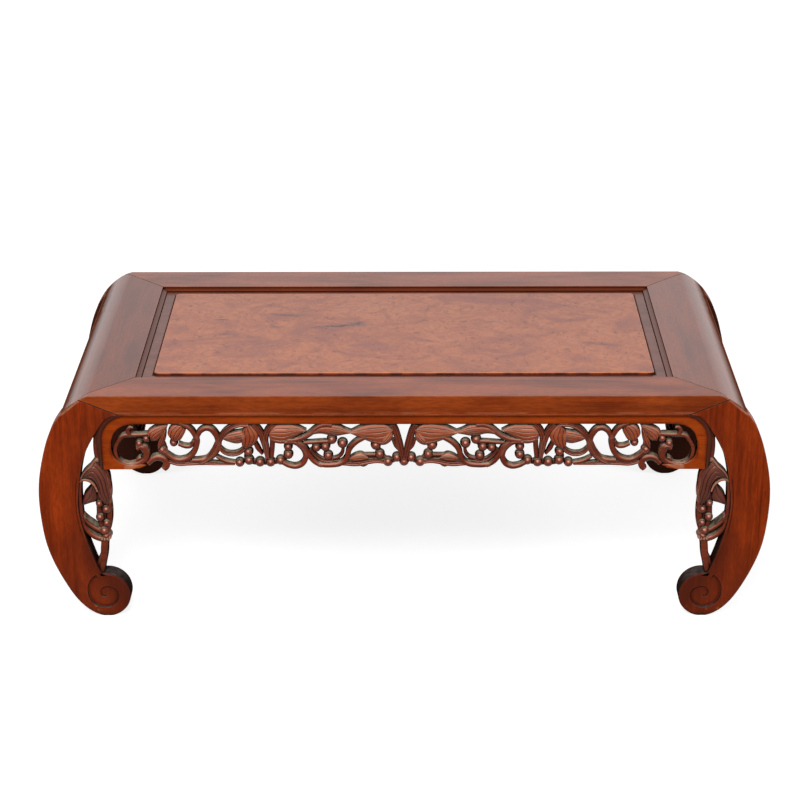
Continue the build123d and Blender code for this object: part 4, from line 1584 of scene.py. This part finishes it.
# The bracket's leaves take the darker leaf finish, painted shade.
for part in bracket_parts:
    if part.name.startswith("leaf"):
        give_finish(part, fold_wood)
bracket = joined("bracket", bracket_parts)
edit(bracket, face_outwards)
saw_back(bracket, bracket_back)
finish_walls(bracket, wall_wood)
shade(bracket)
for corner, across, along in corners:
    piece = copy_of(bracket, f"carved_{corner}_bracket")
    stand_up(piece, bracket_face, 0)
    piece.data.transform(Matrix.Diagonal((across, along, 1, 1)))
    edit(piece, face_outwards)
    finish_piece(piece, "carved_wood", f"{corner}_bracket")
bpy.data.objects.remove(bracket)

# %% [markdown]
# ## The bead
#
# The bead grows up beside an apron's end, widens round its corner, and runs along under the long rail to the
# other end, in one line. Its section is half round in front, with square sides that run back to the apron.

# %% Run the beads
bead_width = 3.6
bead_corner = (pattern_half - corner_radius, rail_underside - corner_radius)
bead_inside = corner_radius - 1.4
bead_sinks = 2.0
bead_depth = 5.0
bead_round = 0.9
bead_steps = 11
round_steps = 8


def bead_path():
    """Up beside the right post, round the corner, along to the left post: places, and how wide it is."""
    right = []
    for height, share in ((213, 0.5), (222, 0.9), (234, 1.3)):
        right.append((bead_corner[0] + bead_inside + bead_width / 2 * share, height, share))
    for step in range(bead_steps + 1):
        angle = pi / 2 * step / bead_steps
        share = 1 + 0.6 * cos(angle) ** 0.5
        reach = bead_inside + bead_width / 2 * share
        right.append((bead_corner[0] + reach * cos(angle), bead_corner[1] + reach * sin(angle), share))
    return right + [(-x, y, share) for x, y, share in reversed(right)]


def half_round_section():
    half = bead_width / 2
    points = [(half, -bead_depth)]
    for step in range(round_steps + 1):
        angle = pi * step / round_steps
        points.append((half * cos(angle), bead_round * (sin(angle) - 1)))
    points.append((-half, -bead_depth))
    return flat_outline("bead_section", points, mm)


def bead():
    section = half_round_section()
    path = bead_path()
    strip, holder = curve_object("bead", "POLY", path, False)
    carry(strip, section)
    for point, (x, y, share) in zip(holder, path):
        point.co = (x * mm, y * mm, -bead_sinks * abs(share - 1) * mm, 1)
        point.radius = share
    strip = as_mesh(strip)
    edit(strip, weld, face_outwards)
    bpy.data.objects.remove(section)
    shade(strip)
    give_finish(strip, bead_wood)
    return strip


half_round = bead()
for name, turn in (("front_bead", 0), ("back_bead", 180)):
    strip = copy_of(half_round, name)
    stand_up(strip, front_face, turn)
    finish_piece(strip, "frame_wood")
bpy.data.objects.remove(half_round)

# %% [markdown]
# ## The groove of the scroll
#
# A spiral is carved on the outer face of each foot, so that the end of the board reads as a rolled leaf. It
# is one long groove: steep on its outer side, and on its inner side a gentle slope that makes the coil look
# round. A curve carries that cross-section round the spiral, and gets smaller with every turn. The mesh
# that it makes is the cutter for a Boolean.

# %% Make the cutter
foot_middle = (391.0, 33.0)
spiral_start = 112
spiral_step = 60
spiral_reaches = [28, 22.6, 20.5, 19.1, 17, 11.4, 8.6, 6.2, 5.2, 4.2]
spiral_end = spiral_start + spiral_step * (len(spiral_reaches) - 1)
spiral_facet = 8
groove_section = [(-1.9, 1.2), (-0.6, -2.8), (1.7, -2.8), (6.5, 0.3), (6.5, 1.2)]
groove_narrows = 0.55


def spiral_point(turn):
    """The groove's place after so many degrees, and how much of the way that is."""
    share = (turn - spiral_start) / (spiral_end - spiral_start)
    reach = smooth_line([(reach, 0) for reach in spiral_reaches], share).x
    return (foot_middle[0] - reach * cos(radians(turn)), foot_middle[1] + reach * sin(radians(turn)), share)


def spiral_cutter():
    section = flat_outline("groove_section", groove_section)
    places = [spiral_point(turn) for turn in range(spiral_start, spiral_end, spiral_facet)]
    cutter, holder = curve_object("spiral_cutter", "POLY", places, False)
    carry(cutter, section)
    for point, (x, y, share) in zip(holder, places):
        point.co = (x * mm, y * mm, 0, 1)
        point.radius = (1 - groove_narrows * share) * mm
    cutter = as_mesh(cutter)
    edit(cutter, weld, face_outwards)
    bpy.data.objects.remove(section)
    stand_up(cutter, front_face, 0)
    return cutter


cutter = spiral_cutter()
print("turns of the spiral:", round((spiral_end - spiral_start) / 360, 1))

# %% [markdown]
# ## The legs
#
# Each leg is sawn from thick board and keeps its solid's outline and joints. Its visible arrises are
# rounded: wide round the scroll, narrow up the leg, and beside the apron's corner they open into the chamfer
# for the bead. The cutter then takes out the spiral, and the sawn insides of the leg get their own finish,
# painted nearly black as shade.

# %% Shape the legs
leg_arris = 1.1
foot_rim = 2.6
leg_back_face = 215.0
sawn_top = 280.0


def blend(value, low, high):
    return min(max((value - low) / (high - low), 0.0), 1.0)


def from_place(x, z, place):
    """How far a point of a leg's face is from a place on the right leg, whichever leg it is."""
    return Vector((abs(x) - place[0], z - place[1])).length


def leg_radius(x, y, z):
    """The radius of a leg's arris: wide round the scroll, a chamfer for the bead, and no joints."""
    on_face = abs(y) > front_face - 0.5
    on_back = abs(y) < leg_back_face
    below_joints = z < rail_underside - 1
    from_foot = from_place(x, z, (foot_middle[0], foot_middle[1] - 3))
    if on_face and z > 225 and from_place(x, z, bead_corner) < 48:
        chamfer = leg_arris + (bead_chamfer - leg_arris) * blend(z, 232, 252)
        return chamfer * blend(from_place(x, z, Vector(face_mitre_low) / mm), 0, 9)
    if on_face and from_foot < 60:
        return foot_rim + (leg_arris - foot_rim) * blend(from_foot, 33, 58)
    if on_face and (below_joints or abs(x) > 440) or on_back and below_joints:
        return leg_arris
    return 0


def is_sawn_inside(face, across):
    """Whether a face lies across the board's thickness and looks towards the middle of the leg's bend."""
    inward = (ring_middle[0] - abs(face.center.x)) * face.normal.x * across
    inward += (ring_middle[1] - face.center.z) * face.normal.z
    return abs(face.normal.y) < 0.5 and inward > 0 and face.center.z < sawn_top * mm


def carved_leg(name, across, along):
    leg = worked_copy(name, name + "_shaped")
    print("arrises rounded:", soften_edges(leg, leg_radius, segments=3))
    tool = copy_of(cutter, "tool")
    tool.data.transform(Matrix.Diagonal((across, along, 1, 1)))
    edit(tool, face_outwards)
    apply_modifier(leg, "BOOLEAN", operation="DIFFERENCE", object=tool, solver="EXACT")
    bpy.data.objects.remove(tool)
    shade(leg, 32)
    give_finish(leg, leg_wood)
    leg.data.materials.append(sawn_wood)
    for face in leg.data.polygons:
        if is_sawn_inside(face, across):
            face.material_index = 1
    finish_piece(leg, "leg_wood", name)


for corner, across, along in corners:
    carved_leg(corner + "_leg", across, along)
bpy.data.objects.remove(cutter)

# %% [markdown]
# ## Clearing the bench
#
# The cross-sections were only templates, so they are put away.

# %% Put the templates away
for section in sections.values():
    bpy.data.objects.remove(section)
